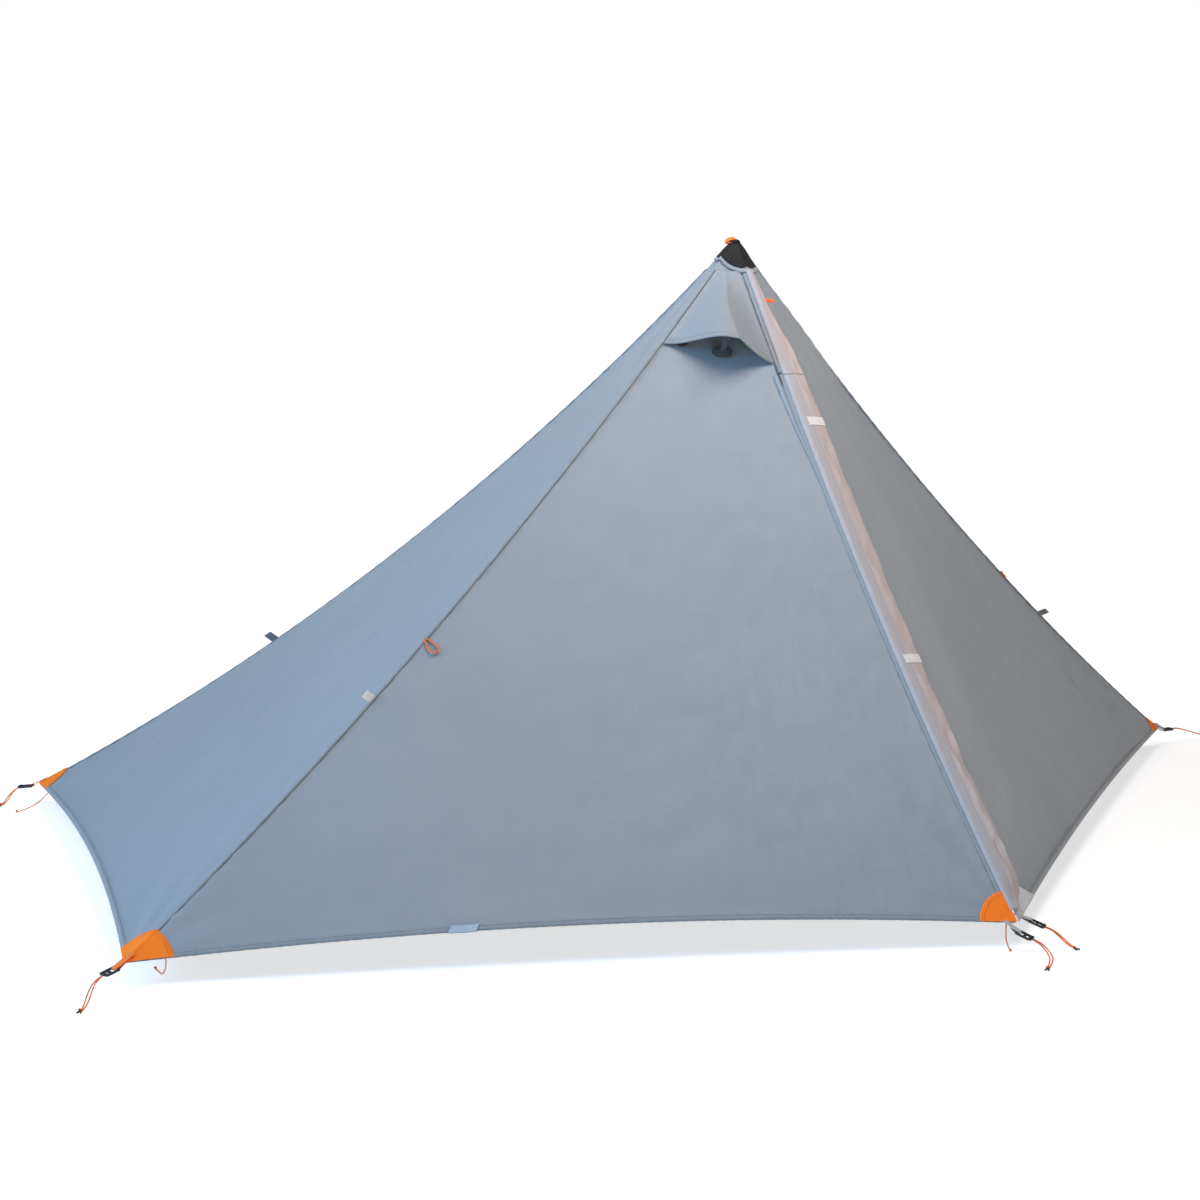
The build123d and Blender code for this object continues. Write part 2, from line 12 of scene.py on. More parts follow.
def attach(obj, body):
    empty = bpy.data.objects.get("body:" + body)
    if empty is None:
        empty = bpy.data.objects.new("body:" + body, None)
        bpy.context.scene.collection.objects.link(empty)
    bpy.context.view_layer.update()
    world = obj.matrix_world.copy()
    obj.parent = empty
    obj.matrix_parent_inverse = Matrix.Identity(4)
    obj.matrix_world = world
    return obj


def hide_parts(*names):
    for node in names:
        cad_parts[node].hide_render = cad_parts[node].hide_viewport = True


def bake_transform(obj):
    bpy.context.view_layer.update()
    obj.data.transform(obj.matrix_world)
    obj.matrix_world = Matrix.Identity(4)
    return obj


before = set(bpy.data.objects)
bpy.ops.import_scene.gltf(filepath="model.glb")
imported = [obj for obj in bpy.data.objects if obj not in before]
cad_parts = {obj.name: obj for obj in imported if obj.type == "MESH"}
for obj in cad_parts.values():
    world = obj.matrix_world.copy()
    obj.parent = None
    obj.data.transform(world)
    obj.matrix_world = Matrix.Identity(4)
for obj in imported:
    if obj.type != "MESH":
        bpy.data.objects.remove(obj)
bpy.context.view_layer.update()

# ---- Driving dimensions, as in the CAD model ----
MM = 0.001
UP = Vector((0, 0, 1))
PEAK = Vector((0, 0, 1.310))
CORNER_Z = 0.045
CORNERS = {"a": (-1.420, -0.960), "b": (0.280, -1.050), "c": (1.300, 0.730), "d": (-1.460, 0.690)}
RIDGE_BOW = {"a": 0.053, "b": 0.037, "c": 0.050, "d": 0.083}
WALLS = {"front": "ab", "right": "bc", "back": "cd", "left": "da"}
HEM_RISE = {"front": 0.038, "right": 0.018, "back": 0.045, "left": 0.034}
TAB_DISTANCE, LOOP_DISTANCE = 1.380, 1.204  # down a ridge from the peak
CLOTH = 0.0005  # thickness

# ---- Places as shares of the way from the peak (0) to a corner (1) ----
CLOTH_TOP = 0.022
FOLD_TOP, FOLD_FOOT = 0.205, 0.065  # the door's fold line, on ridge b and along the front hem
FOLD_GAP = 0.001
HOOD_TOP, HOOD_BRIM = (0.045, 0.050), (0.149, 0.189)  # on ridges a and b
TABS_ON_FLAP = (0.279, 0.63)
FLAP_ENDS = {"storm_flap_top": (0.050, FOLD_TOP + 0.004), "storm_flap": (FOLD_TOP + FOLD_GAP, 0.984)}


def lerp(a, b, t):
    return a * (1 - t) + b * t


def smooth(t):
    t = min(1.0, max(0.0, t))
    return t * t * (3 - 2 * t)


class Ridge:
    """A circular arc in the upright plane through the peak and one corner."""

    def __init__(self, name):
        self.corner = Vector((*CORNERS[name], CORNER_Z))
        chord = self.corner - PEAK
        half, bow = chord.length / 2, RIDGE_BOW[name]
        self.length = chord.length
        self.along = chord.normalized()
        self.out = (UP - self.along * UP.dot(self.along)).normalized()
        self.radius = (half**2 + bow**2) / (2 * bow)
        self.centre = (PEAK + self.corner) * 0.5 + self.out * (self.radius - bow)
        self.swing = math.asin(half / self.radius)

    def at(self, s):
        a = self.swing * (2 * s - 1)
        return self.centre + (self.along * math.sin(a) - self.out * math.cos(a)) * self.radius

    def tangent(self, s):
        a = self.swing * (2 * s - 1)
        return self.along * math.cos(a) + self.out * math.sin(a)


class Wall:
    """The ruled surface between two ridges, cut off below by the hem's arc."""

    def __init__(self, name):
        self.name = name
        self.left, self.right = (RIDGES[k] for k in WALLS[name])
        self.rise = HEM_RISE[name]
        low, high = self.left.at(1), self.right.at(1)
        self.along = (high - low).normalized()
        self.up = self.normal(1).cross(self.along)
        step = (self.point(1, 0.5) - self.point(0.99, 0.5)) / 0.01
        self.fall = -step.dot(self.up)

    def normal(self, s):
        tangent = self.left.tangent(s) + self.right.tangent(s)
        return tangent.cross(self.right.at(s) - self.left.at(s)).normalized()

    def inward(self, s, side):
        """Square to the ridge on that side, into the wall."""
        chord = (self.right.at(s) - self.left.at(s)).normalized()
        ridge = self.left if side == "left" else self.right
        tangent = ridge.tangent(s)
        chord = chord if side == "left" else -chord
        return (chord - tangent * chord.dot(tangent)).normalized()

    def point(self, s, t, height=0.0):
        return lerp(self.left.at(s), self.right.at(s), t) + self.normal(s) * height

    def hem_share(self, t):
        """Where the hem's arc crosses, as a share of the way down the wall."""
        return 1 - 4 * self.rise * t * (1 - t) / self.fall

    def hem_point(self, t):
        low, high = self.left.at(1), self.right.at(1)
        return lerp(low, high, t) + self.up * (4 * self.rise * t * (1 - t))

    def hem_length(self):
        return (self.right.corner - self.left.corner).length


RIDGES = {k: Ridge(k) for k in CORNERS}
ALL_WALLS = FRONT, RIGHT, BACK, LEFT = [Wall(k) for k in ("front", "right", "back", "left")]
WALL_LEFT_OF = {k: next(wall for wall in ALL_WALLS if wall.right is RIDGES[k]) for k in RIDGES}
WALL_RIGHT_OF = {k: next(wall for wall in ALL_WALLS if wall.left is RIDGES[k]) for k in RIDGES}


def ridge_point(name, s, side, reach, height):
    """A point beside a ridge: reach into the wall on its left or right, and height off that wall."""
    ridge = RIDGES[name]
    if side == "left":
        way = WALL_LEFT_OF[name].inward(s, "right")
        off = -ridge.tangent(s).cross(way)
    else:
        way = WALL_RIGHT_OF[name].inward(s, "left")
        off = ridge.tangent(s).cross(way)
    return ridge.at(s) + way * reach + off * height


def door_fold():
    """The door's fold line: its top, its foot, and the level way across it towards the door's edge."""
    top, foot = RIDGES["b"].at(FOLD_TOP), FRONT.hem_point(FOLD_FOOT)
    way = (foot - top).normalized()
    across = way.cross(FRONT.normal(0.6)).normalized()
    return top, foot, across if across.dot(FRONT.right.at(1) - top) > 0 else -across


# ---- Camera ----
CAMERA_PLACE = (-1.951, -7.062, 1.653)
CAMERA_DOWN, CAMERA_ROUND = 8.76, -13.17  # degrees below level, and round from facing the back
LENS, SENSOR = 102, 36


def make_camera():
    data = bpy.data.cameras.new("camera")
    data.sensor_width = SENSOR
    data.lens = LENS
    camera = bpy.data.objects.new("camera", data)
    camera.location = CAMERA_PLACE
    camera.rotation_euler = (math.radians(90 - CAMERA_DOWN), 0, math.radians(CAMERA_ROUND))
    bpy.context.scene.collection.objects.link(camera)
    bpy.context.scene.camera = camera


# ---- Materials ----
class Shader:
    """A Principled material, with short ways to add nodes to it."""

    def __init__(self, name, colour, roughness, **sockets):
        self.material = bpy.data.materials.new(name)
        self.material.use_nodes = True
        self.tree = self.material.node_tree
        self.surface = self.tree.nodes["Principled BSDF"]
        self.colour = (*colour, 1)
        self.surface.inputs["Base Color"].default_value = self.colour
        self.surface.inputs["Roughness"].default_value = roughness
        for key, value in sockets.items():
            self.surface.inputs[key.replace("_", " ")].default_value = value
        self.heights = []

    def node(self, kind, settings=None, **inputs):
        """A node with its inputs by name, or by number as _0, _1 and so on."""
        made = self.tree.nodes.new("ShaderNode" + kind)
        for key, value in (settings or {}).items():
            setattr(made, key, value)
        for key, value in inputs.items():
            socket = made.inputs[int(key[1:]) if key[0] == "_" else key.replace("_", " ")]
            if isinstance(value, bpy.types.NodeSocket):
                self.tree.links.new(value, socket)
            else:
                socket.default_value = value
        return made

    def math(self, operation, a, b=0.0):
        return self.node("Math", {"operation": operation}, _0=a, _1=b).outputs[0]

    def place(self, kind="UV"):
        """The coordinates and their three parts in metres, from the UVs or the object's own place."""
        coordinates = self.node("TexCoord").outputs[kind]
        parts = self.node("SeparateXYZ", _0=coordinates)
        return coordinates, parts.outputs

    def noise(self, coordinates, scale, detail=3.0, stretch=(1, 1, 1)):
        if stretch != (1, 1, 1):
            coordinates = self.node("Mapping", Vector=coordinates, Scale=stretch).outputs[0]
        return self.node("TexNoise", Vector=coordinates, Scale=scale, Detail=detail).outputs["Fac"]

    def spread(self, factor, low, high):
        """Takes a factor from 0 to 1 to a value from low to high."""
        return self.node("MapRange", Value=factor, To_Min=low, To_Max=high).outputs[0]

    def tint(self, factor, dark, light):
        """Multiplies the colour between two shares as factor goes from 0 to 1."""
        source = self.surface.inputs["Base Color"]
        before = source.links[0].from_socket if source.links else self.colour[:3]
        share = self.spread(factor, dark, light)
        shade = self.node("CombineXYZ", _0=share, _1=share, _2=share).outputs[0]
        mix = self.node("VectorMath", {"operation": "MULTIPLY"}, _0=before, _1=shade)
        self.tree.links.new(mix.outputs[0], source)

    def waves(self, position, pitch):
        """A sine from 0 to 1 with one wave for each pitch, in metres."""
        angle = self.math("MULTIPLY", position, 2 * math.pi / pitch)
        return self.math("MULTIPLY_ADD", self.math("SINE", angle), 0.5)

    def relief(self, height, depth):
        """Adds a height from 0 to 1 to the surface, depth metres high."""
        self.heights.append(self.math("MULTIPLY", height, depth))

    def rough(self, factor, low, high):
        """Lets the roughness vary between low and high."""
        self.tree.links.new(self.spread(factor, low, high), self.surface.inputs["Roughness"])

    def done(self):
        """Adds up the heights as one bump, and gives the material."""
        if self.heights:
            total = self.heights[0]
            for height in self.heights[1:]:
                total = self.math("ADD", total, height)
            bump = self.node("Bump", Height=total, Strength=1.0, Distance=1.0)
            self.tree.links.new(bump.outputs[0], self.surface.inputs["Normal"])
        return self.material


def stripe(shader, position, middle, half):
    """1 within half a width of a line, 0 elsewhere."""
    away = shader.math("ABSOLUTE", shader.math("SUBTRACT", position, middle))
    return shader.math("LESS_THAN", away, half)


def coated_cloth(name, colour, roughness=0.52, sheen=0.3, grid=0.0055, crinkle=0.00045):
    """Ripstop cloth: a fine grid of thicker threads, the weave, crinkles and uneven tone."""
    shader = Shader(name, colour, roughness, Sheen_Weight=sheen, Sheen_Roughness=0.4)
    coordinates, (u, v, _) = shader.place()
    for position in (u, v):
        line = shader.math("LESS_THAN", shader.math("PINGPONG", position, grid / 2), 0.00022)
        shader.relief(line, 0.00005)
        shader.tint(line, 1.0, 1.035)
        shader.relief(shader.waves(position, 0.0009), 0.00002)
    shader.relief(shader.noise(coordinates, 26, 4, (1.0, 0.35, 1)), crinkle)
    shader.relief(shader.noise(coordinates, 9, 3, (0.5, 1.0, 1)), crinkle * 2.2)
    shader.tint(shader.noise(coordinates, 2.2, 3), 0.93, 1.06)
    shader.tint(shader.noise(coordinates, 45, 4), 0.975, 1.025)
    shader.rough(shader.noise(coordinates, 14, 3), roughness - 0.06, roughness + 0.08)
    return shader.done()


def stitched_cloth(name, colour, lines, roughness=0.6, thread=0.62, pitch=0.0032, weave=0.0011, sheen=0.3):
    """Cloth with rows of stitches along V at the given places across U, in metres."""
    shader = Shader(name, colour, roughness, Sheen_Weight=sheen, Sheen_Roughness=0.5,
                    Specular_IOR_Level=0.12 if sheen < 0.1 else 0.5)
    coordinates, (u, v, _) = shader.place()
    dash = shader.math("GREATER_THAN", shader.waves(v, pitch), 0.28)
    for middle in lines:
        groove = stripe(shader, u, middle, 0.0007)
        shader.relief(shader.math("SUBTRACT", 1.0, groove), 0.00035)
        seen = shader.math("MULTIPLY", groove, dash)
        shader.relief(seen, 0.0003)
        shader.tint(groove, 1.0, thread)
    shader.relief(shader.math("MULTIPLY", shader.waves(u, weave), shader.waves(v, weave)), 0.00012)
    shader.relief(shader.noise(coordinates, 60, 3), 0.0006)
    shader.tint(shader.noise(coordinates, 18, 3), 0.9, 1.08)
    return shader.done()


def webbing(name, colour, sheen=0.35):
    """Woven tape: ribs across, a herringbone along, and uneven tone."""
    shader = Shader(name, colour, 0.62, Sheen_Weight=sheen, Sheen_Roughness=0.5)
    coordinates, (u, v, _) = shader.place()
    shader.relief(shader.waves(v, 0.0014), 0.00018)
    slant = shader.math("ADD", v, shader.math("PINGPONG", u, 0.003))
    shader.relief(shader.waves(slant, 0.0011), 0.00014)
    shader.tint(shader.waves(slant, 0.0011), 0.86, 1.06)
    shader.tint(shader.noise(coordinates, 90, 3), 0.92, 1.07)
    return shader.done()


def braid(name, colour):
    """Braided cord: two crossing spirals of strands along the cord."""
    shader = Shader(name, colour, 0.6, Sheen_Weight=0.05, Sheen_Roughness=0.5)
    coordinates, (x, y, z) = shader.place("Object")
    for signs in ((1, 1, 1), (1, -1, 1)):
        total = shader.math("MULTIPLY", x, signs[0])
        for part, sign in ((y, signs[1]), (z, signs[2])):
            total = shader.math("ADD", total, shader.math("MULTIPLY", part, sign))
        strands = shader.waves(total, 0.0016)
        shader.relief(strands, 0.00022)
        shader.tint(strands, 0.82, 1.08)
    shader.tint(shader.noise(coordinates, 120, 2), 0.85, 1.1)
    return shader.done()


def hook_tape(name, colour):
    """Hook-and-loop tape: a dense field of tiny tufts."""
    shader = Shader(name, colour, 0.85, Sheen_Weight=0.5, Sheen_Roughness=0.6)
    coordinates, _ = shader.place()
    tufts = shader.node("TexVoronoi", Vector=coordinates, Scale=900).outputs["Distance"]
    shader.relief(tufts, 0.0006)
    shader.tint(tufts, 0.72, 1.1)
    return shader.done()


def moulded(name, colour, roughness=0.42):
    """Injection-moulded plastic with a fine spark-eroded grain."""
    shader = Shader(name, colour, roughness, Specular_IOR_Level=0.45)
    coordinates, _ = shader.place("Object")
    shader.relief(shader.noise(coordinates, 900, 2), 0.00006)
    shader.rough(shader.noise(coordinates, 60, 3), roughness - 0.08, roughness + 0.12)
    shader.tint(shader.noise(coordinates, 30, 3), 0.85, 1.15)
    return shader.done()


def brushed(name, colour, roughness=0.34):
    """Drawn metal, brushed along Z."""
    shader = Shader(name, colour, roughness, Metallic=1.0)
    coordinates, _ = shader.place("Object")
    lines = shader.noise(coordinates, 700, 2, (1, 1, 0.02))
    shader.relief(lines, 0.00002)
    shader.rough(lines, roughness - 0.1, roughness + 0.14)
    shader.tint(shader.noise(coordinates, 8, 2), 0.93, 1.05)
    return shader.done()


def net(name, colour):
    """Fine net: threads every millimetre or so, sunk between."""
    shader = Shader(name, colour, 0.8, Sheen_Weight=0.3)
    coordinates, (u, v, _) = shader.place()
    for position in (u, v):
        hole = shader.math("GREATER_THAN", shader.math("PINGPONG", position, 0.0006), 0.0002)
        shader.relief(shader.math("SUBTRACT", 1.0, hole), 0.0003)
        shader.tint(hole, 1.3, 0.6)
    return shader.done()


GLOW_START, GLOW_FULL, GLOW_LEAST = 1.5, 2.8, 0.66  # metres from the origin, and the glow near the tent


def glowing_floor(name):
    """A white floor that glows more and more with the distance from the origin."""
    shader = Shader(name, (0.50, 0.50, 0.50), 0.9, Specular_IOR_Level=0.1, Emission_Color=(1, 1, 1, 1))
    coordinates, _ = shader.place("Object")
    distance = shader.node("VectorMath", {"operation": "LENGTH"}, _0=coordinates).outputs["Value"]
    glow = shader.node("MapRange", Value=distance, From_Min=GLOW_START, From_Max=GLOW_FULL, To_Min=GLOW_LEAST)
    shader.tree.links.new(glow.outputs[0], shader.surface.inputs["Emission Strength"])
    return shader.done()


def make_materials():
    """The materials by name. Colours are linear."""
    return {
        "fly_cloth": coated_cloth("fly_cloth", (0.218, 0.248, 0.277), crinkle=0.0016),
        "seam_cloth": stitched_cloth("seam_cloth", (0.215, 0.242, 0.264), (-0.0036, 0.0036), thread=0.5),
        "hem_cloth": stitched_cloth("hem_cloth", (0.205, 0.232, 0.255), (0.0095,), thread=0.6),
        "flap_cloth": coated_cloth("flap_cloth", (0.43, 0.362, 0.345), 0.6, 0.35, crinkle=0.0007),
        # The flat strip's cloth: a darker, bluer copy of the flap cloth, painted shade on the strip before
        # the crease.
        "flap_strip_shade": coated_cloth("flap_strip_shade", (0.365, 0.340, 0.352), 0.6, 0.35, crinkle=0.0005),
        # Bluer than the fly cloth: a painted highlight of light showing through the cloth along the door's
        # edge.
        "facing_painted_highlight": coated_cloth("facing_painted_highlight", (0.200, 0.245, 0.300), 0.5, 0.3),
        "label_cloth": stitched_cloth("label_cloth", (0.34, 0.42, 0.50), (0.0015, 0.0165), thread=0.85),
        "black_cloth": stitched_cloth("black_cloth", (0.012, 0.0115, 0.012), (0.004, 0.009),
                                      thread=1.6, weave=0.0016, sheen=0.03),
        "orange_cloth": stitched_cloth("orange_cloth", (1.0, 0.205, 0.012), (0.004, 0.009),
                                       thread=0.72, sheen=0.04),
        "orange_webbing": webbing("orange_webbing", (0.95, 0.19, 0.018), 0.04),
        "grey_webbing": webbing("grey_webbing", (0.50, 0.50, 0.50)),
        "pale_webbing": webbing("pale_webbing", (0.86, 0.85, 0.82)),
        "web_cloth": webbing("web_cloth", (0.62, 0.63, 0.65)),
        "dark_webbing": webbing("dark_webbing", (0.10, 0.10, 0.11)),
        "strap_net": net("strap_net", (0.055, 0.075, 0.12)),
        "pale_hook_tape": hook_tape("pale_hook_tape", (0.72, 0.69, 0.65)),
        "black_hook_tape": hook_tape("black_hook_tape", (0.012, 0.012, 0.013)),
        "mesh_cloth": net("mesh_cloth", (0.030, 0.030, 0.034)),
        "black_plastic": moulded("black_plastic", (0.018, 0.018, 0.019)),
        "zip_tape": webbing("zip_tape", (0.11, 0.125, 0.15)),
        "zip_metal": moulded("zip_metal", (0.02, 0.02, 0.022), 0.3),
        "orange_pull": moulded("orange_pull", (0.88, 0.15, 0.02), 0.5),
        "pole_metal": brushed("pole_metal", (0.62, 0.63, 0.65)),
        "pin_steel": brushed("pin_steel", (0.55, 0.55, 0.55), 0.25),
        "foot_rubber": moulded("foot_rubber", (0.022, 0.022, 0.022), 0.8),
        "orange_cord": braid("orange_cord", (0.95, 0.19, 0.018)),
        "studio_floor": glowing_floor("studio_floor"),
    }


# ---- Mesh helpers ----
def link(data, name, *materials):
    """Puts a mesh or curve into the scene, with its materials by name."""
    made = bpy.data.objects.new(name, data)
    bpy.context.scene.collection.objects.link(made)
    for material in materials:
        data.materials.append(MATERIALS[material])
    return made


def grid(name, rows, columns, place, *materials, keep=None, wrap=False, which=None):
    """A quad sheet. place(v, u) gives a point and its UV for v down and u across, both from 0 to 1.

    keep(v, u) tells which faces stay, which(v, u) numbers their materials, and wrap welds the ends of u.
    """
    points, uvs, faces, slots = [], [], [], []
    for i in range(rows + 1):
        for j in range(columns + 1):
            point, uv = place(i / rows, j / columns)
            points.append(point)
            uvs.append(uv)
    for i in range(rows):
        for j in range(columns):
            middle = (i + 0.5) / rows, (j + 0.5) / columns
            if keep is None or keep(*middle):
                a = i * (columns + 1) + j
                below = a + columns + 1
                faces.append((a, below, below + 1, a + 1))
                slots.append(which(*middle) if which else 0)
    mesh = bpy.data.meshes.new(name)
    mesh.from_pydata(points, [], faces)
    layer = mesh.uv_layers.new(name="UVMap")
    for loop in mesh.loops:
        layer.data[loop.index].uv = uvs[loop.vertex_index]
    made = link(mesh, name, *materials)
    mesh.polygons.foreach_set("use_smooth", [True] * len(faces))
    mesh.polygons.foreach_set("material_index", slots)
    clean = bmesh.new()
    clean.from_mesh(mesh)
    if wrap:
        bmesh.ops.remove_doubles(clean, verts=clean.verts, dist=1e-6)
    bmesh.ops.delete(clean, geom=[v for v in clean.verts if not v.link_faces], context="VERTS")
    clean.to_mesh(mesh)
    clean.free()
    return made


def apply(made):
    """Bakes the modifiers into the mesh."""
    bpy.context.view_layer.update()
    graph = bpy.context.evaluated_depsgraph_get()
    solved = made.evaluated_get(graph)
    mesh = bpy.data.meshes.new_from_object(solved, preserve_all_data_layers=True, depsgraph=graph)
    made.modifiers.clear()
    made.data = mesh
    return made


def thicken(made, thickness, offset=0.0, round_edge=0.0):
    """Gives a sheet its thickness, with rounded edges if asked."""
    solid = made.modifiers.new("thickness", "SOLIDIFY")
    solid.thickness = thickness
    solid.offset = offset
    if round_edge:
        bevel = made.modifiers.new("edges", "BEVEL")
        bevel.width = round_edge
        bevel.segments = 2
        bevel.limit_method = "ANGLE"
        bevel.angle_limit = math.radians(50)
    return apply(made)


def join(name, *made):
    """Makes one piece of several meshes."""
    bpy.ops.object.select_all(action="DESELECT")
    for piece in made:
        piece.select_set(True)
    bpy.context.view_layer.objects.active = made[0]
    bpy.ops.object.join()
    made[0].name = name
    return made[0]


def settle(made, body, slot, *nodes):
    """Rides the piece on its body and hides the CAD nodes it stands for. The slot is not used."""
    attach(made, body)
    if nodes:
        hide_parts(*nodes)


# ---- Cords ----
TENSIONER_FRONT = 31 * MM
# Round and dip are the pull's degrees, slope is the strap's, and back is how far the strap runs back.
LINES = {
    "a": {"pivot": (-1.437, -0.972, 0.038), "round": 214, "dip": 12, "slope": 29, "back": 0.046},
    "b_door": {"pivot": (0.270, -1.082, 0.035), "round": -42, "dip": 20, "slope": 34, "back": 0.034},
    "b_wall": {"pivot": (0.312, -1.034, 0.044), "round": -28, "dip": 22, "slope": 20, "back": 0.034},
    "c": {"pivot": (1.318, 0.740, 0.040), "round": 29.3, "dip": 4, "slope": 32, "back": 0.040},
    "d": {"pivot": (-1.478, 0.699, 0.040), "round": 154.7, "dip": 8, "slope": 28, "back": 0.040},
}
STAKE_ROUTES = {
    "a": [(-1.478, -0.990, 0.022), (-1.490, -1.012, 0.009), (-1.498, -1.044, 0.0022),
          (-1.504, -1.080, 0.0015), (-1.513, -1.113, 0.0016)],
    "b_door": [(0.303, -1.112, 0.018), (0.309, -1.133, 0.007), (0.305, -1.162, 0.002),
               (0.289, -1.198, 0.0015), (0.274, -1.230, 0.0016)],
    "b_wall": [(0.349, -1.052, 0.028), (0.362, -1.062, 0.015), (0.371, -1.079, 0.004),
               (0.377, -1.100, 0.0015)],
    "c": [(1.360, 0.763, 0.038), (1.382, 0.772, 0.033), (1.420, 0.781, 0.020),
          (1.462, 0.786, 0.007), (1.505, 0.797, 0.0018), (1.540, 0.815, 0.0015)],
    "d": [(-1.518, 0.715, 0.027), (-1.532, 0.712, 0.014), (-1.541, 0.697, 0.004), (-1.550, 0.680, 0.0015)],
}
TIE_ROUTES = {
    "a": [(-1.342, -0.948, 0.049), (-1.341, -0.943, 0.036), (-1.342, -0.930, 0.018),
          (-1.345, -0.904, 0.004), (-1.347, -0.876, 0.0013), (-1.352, -0.850, 0.0012)],
    "b": [(0.262, -1.036, 0.044), (0.260, -1.040, 0.030), (0.256, -1.052, 0.015), (0.254, -1.071, 0.004),
          (0.251, -1.092, 0.0012)],
    "c": [(1.262, 0.718, 0.056), (1.256, 0.712, 0.038), (1.240, 0.700, 0.017), (1.214, 0.690, 0.004),
          (1.184, 0.688, 0.0012)],
    "d": [(-1.436, 0.622, 0.047), (-1.448, 0.618, 0.036), (-1.466, 0.612, 0.020), (-1.492, 0.607, 0.006),
          (-1.519, 0.600, 0.0012)],
}
STAKE_CORD_D, TIE_CORD_D, LOOP_CORD_D, ROOT_CORD_D = 0.0028, 0.0024, 0.0036, 0.0048
FLOOR_GAP = 0.0002
KNOT_SIZE = 1.35  # a knot's radius, in diameters of its cord
TIP_SIZE = 1.25  # a dipped end's diameter, in diameters of its cord
TIP_SHAPE = [(2.6, 1.2), (6, 2.0), (12, 3.4)]  # along the cord's way and to the side, in millimetres

# A loop's points: out over the wall, across it, and off it as a share of its lift, in millimetres.
LOOP_SHAPE = [(1, -3, 0), (9, -4.5, 0.3), (19, -9, 0.7), (31, -10, 1), (39, -5, 1), (40, 4, 1), (32, 10, 1)]
LOOP_SHAPE += [(20, 9, 0.7), (9, 4.5, 0.3), (1, 3, 0)]
LOOP_BASE = 0.0023  # the cord's middle off the wall where the loop is sewn on

# A loop's sewn root on the other wall: along the ridge and away from it, in millimetres.
ROOT_SHAPE = [(-9, 0.5), (-3, 3.5), (4, 5.5), (10, 4.5)]
ROOT_LIFT = 0.0034


def heading(degrees_round, degrees_down):
    """A direction, turned round from +X and dipped below level."""
    around, down = math.radians(degrees_round), math.radians(degrees_down)
    return Vector((math.cos(down) * math.cos(around), math.cos(down) * math.sin(around), -math.sin(down)))


def line_frame(line, dip):
    """x points the way the line pulls, y is level, and z is up from them."""
    way = heading(line["round"], dip)
    side = UP.cross(way).normalized()
    turn = Matrix((way, side, way.cross(side))).transposed().to_4x4()
    return Matrix.Translation(Vector(line["pivot"])) @ turn


def spline_through(name, points, diameter, material, cyclic=False, beside=()):
    """A round cord along the points, with a second one in the same piece if points beside are given."""
    data = bpy.data.curves.new(name, "CURVE")
    data.dimensions = "3D"
    for route in (points, beside) if beside else (points,):
        line = data.splines.new("NURBS")
        line.points.add(len(route) - 1)
        for place, point in zip(line.points, route):
            place.co = (*point, 1)
        line.order_u = 3
        line.use_cyclic_u = cyclic
        line.use_endpoint_u = not cyclic
        line.resolution_u = 12
    data.bevel_depth = diameter / 2
    data.bevel_resolution = 5
    data.use_fill_caps = True
    return link(data, name, material)


def knot(name, place, way, diameter, material):
    """An overhand knot pulled tight: a trefoil of the cord, a little thinned, on the floor."""
    size = KNOT_SIZE * diameter
    pulled_d = 0.84 * diameter
    count = 36
    turn = way.to_track_quat("Z", "Y").to_matrix()
    points = []
    for i in range(count):
        a = 2 * math.pi * i / count
        x, y = math.sin(a) + 2 * math.sin(2 * a), math.cos(a) - 2 * math.cos(2 * a)
        shape = Vector((x, y, -1.5 * math.sin(3 * a)))
        points.append(place + turn @ (shape * (size - pulled_d / 2) / 3))
    return spline_through(name, points, pulled_d, material, cyclic=True)


def second_strand(name, points, diameter, body):
    """The cord's other half, running back beside it, and the two dipped black ends beyond the knot."""
    last = len(points) - 1
    strand = []
    for i, point in enumerate(points):
        way = points[min(i + 1, last)] - points[max(i - 1, 0)]
        aside = UP.cross(way).normalized()
        strand.append(point + aside * diameter * (1.05 + 1.3 * math.sin(math.pi * i / last)))
    made = spline_through(name + "_strand", strand, diameter, "orange_cord")
    settle(made, body, "orange_cord")
    way = ((points[-1] - points[-2]) * Vector((1, 1, 0))).normalized()
    aside = UP.cross(way)
    floor = Vector((*points[-1][:2], TIP_SIZE * diameter / 2 + FLOOR_GAP))
    ends = [[floor + way * x * MM + aside * y * side * MM for x, y in TIP_SHAPE] for side in (-1, 1)]
    tips = spline_through(name + "_tips", ends[0], TIP_SIZE * diameter, "black_plastic", beside=ends[1])
    settle(tips, body, "black_plastic")
    return [made, tips]


def free_cord(name, route, diameter, body, doubled=False):
    """A cord that lies loose from its first point, with a knot at its end."""
    points = [Vector(p) for p in route]
    made = spline_through(name + "_line", points, diameter, "orange_cord")
    end = Vector((*route[-1][:2], KNOT_SIZE * diameter + FLOOR_GAP))
    way = (points[-1] - points[-2]).normalized()
    tied = knot(name + "_knot", end, way, diameter, "orange_cord")
    settle(made, body, "orange_cord", name)
    settle(tied, body, "orange_cord")
    others = second_strand(name, points, diameter, body) if doubled else []


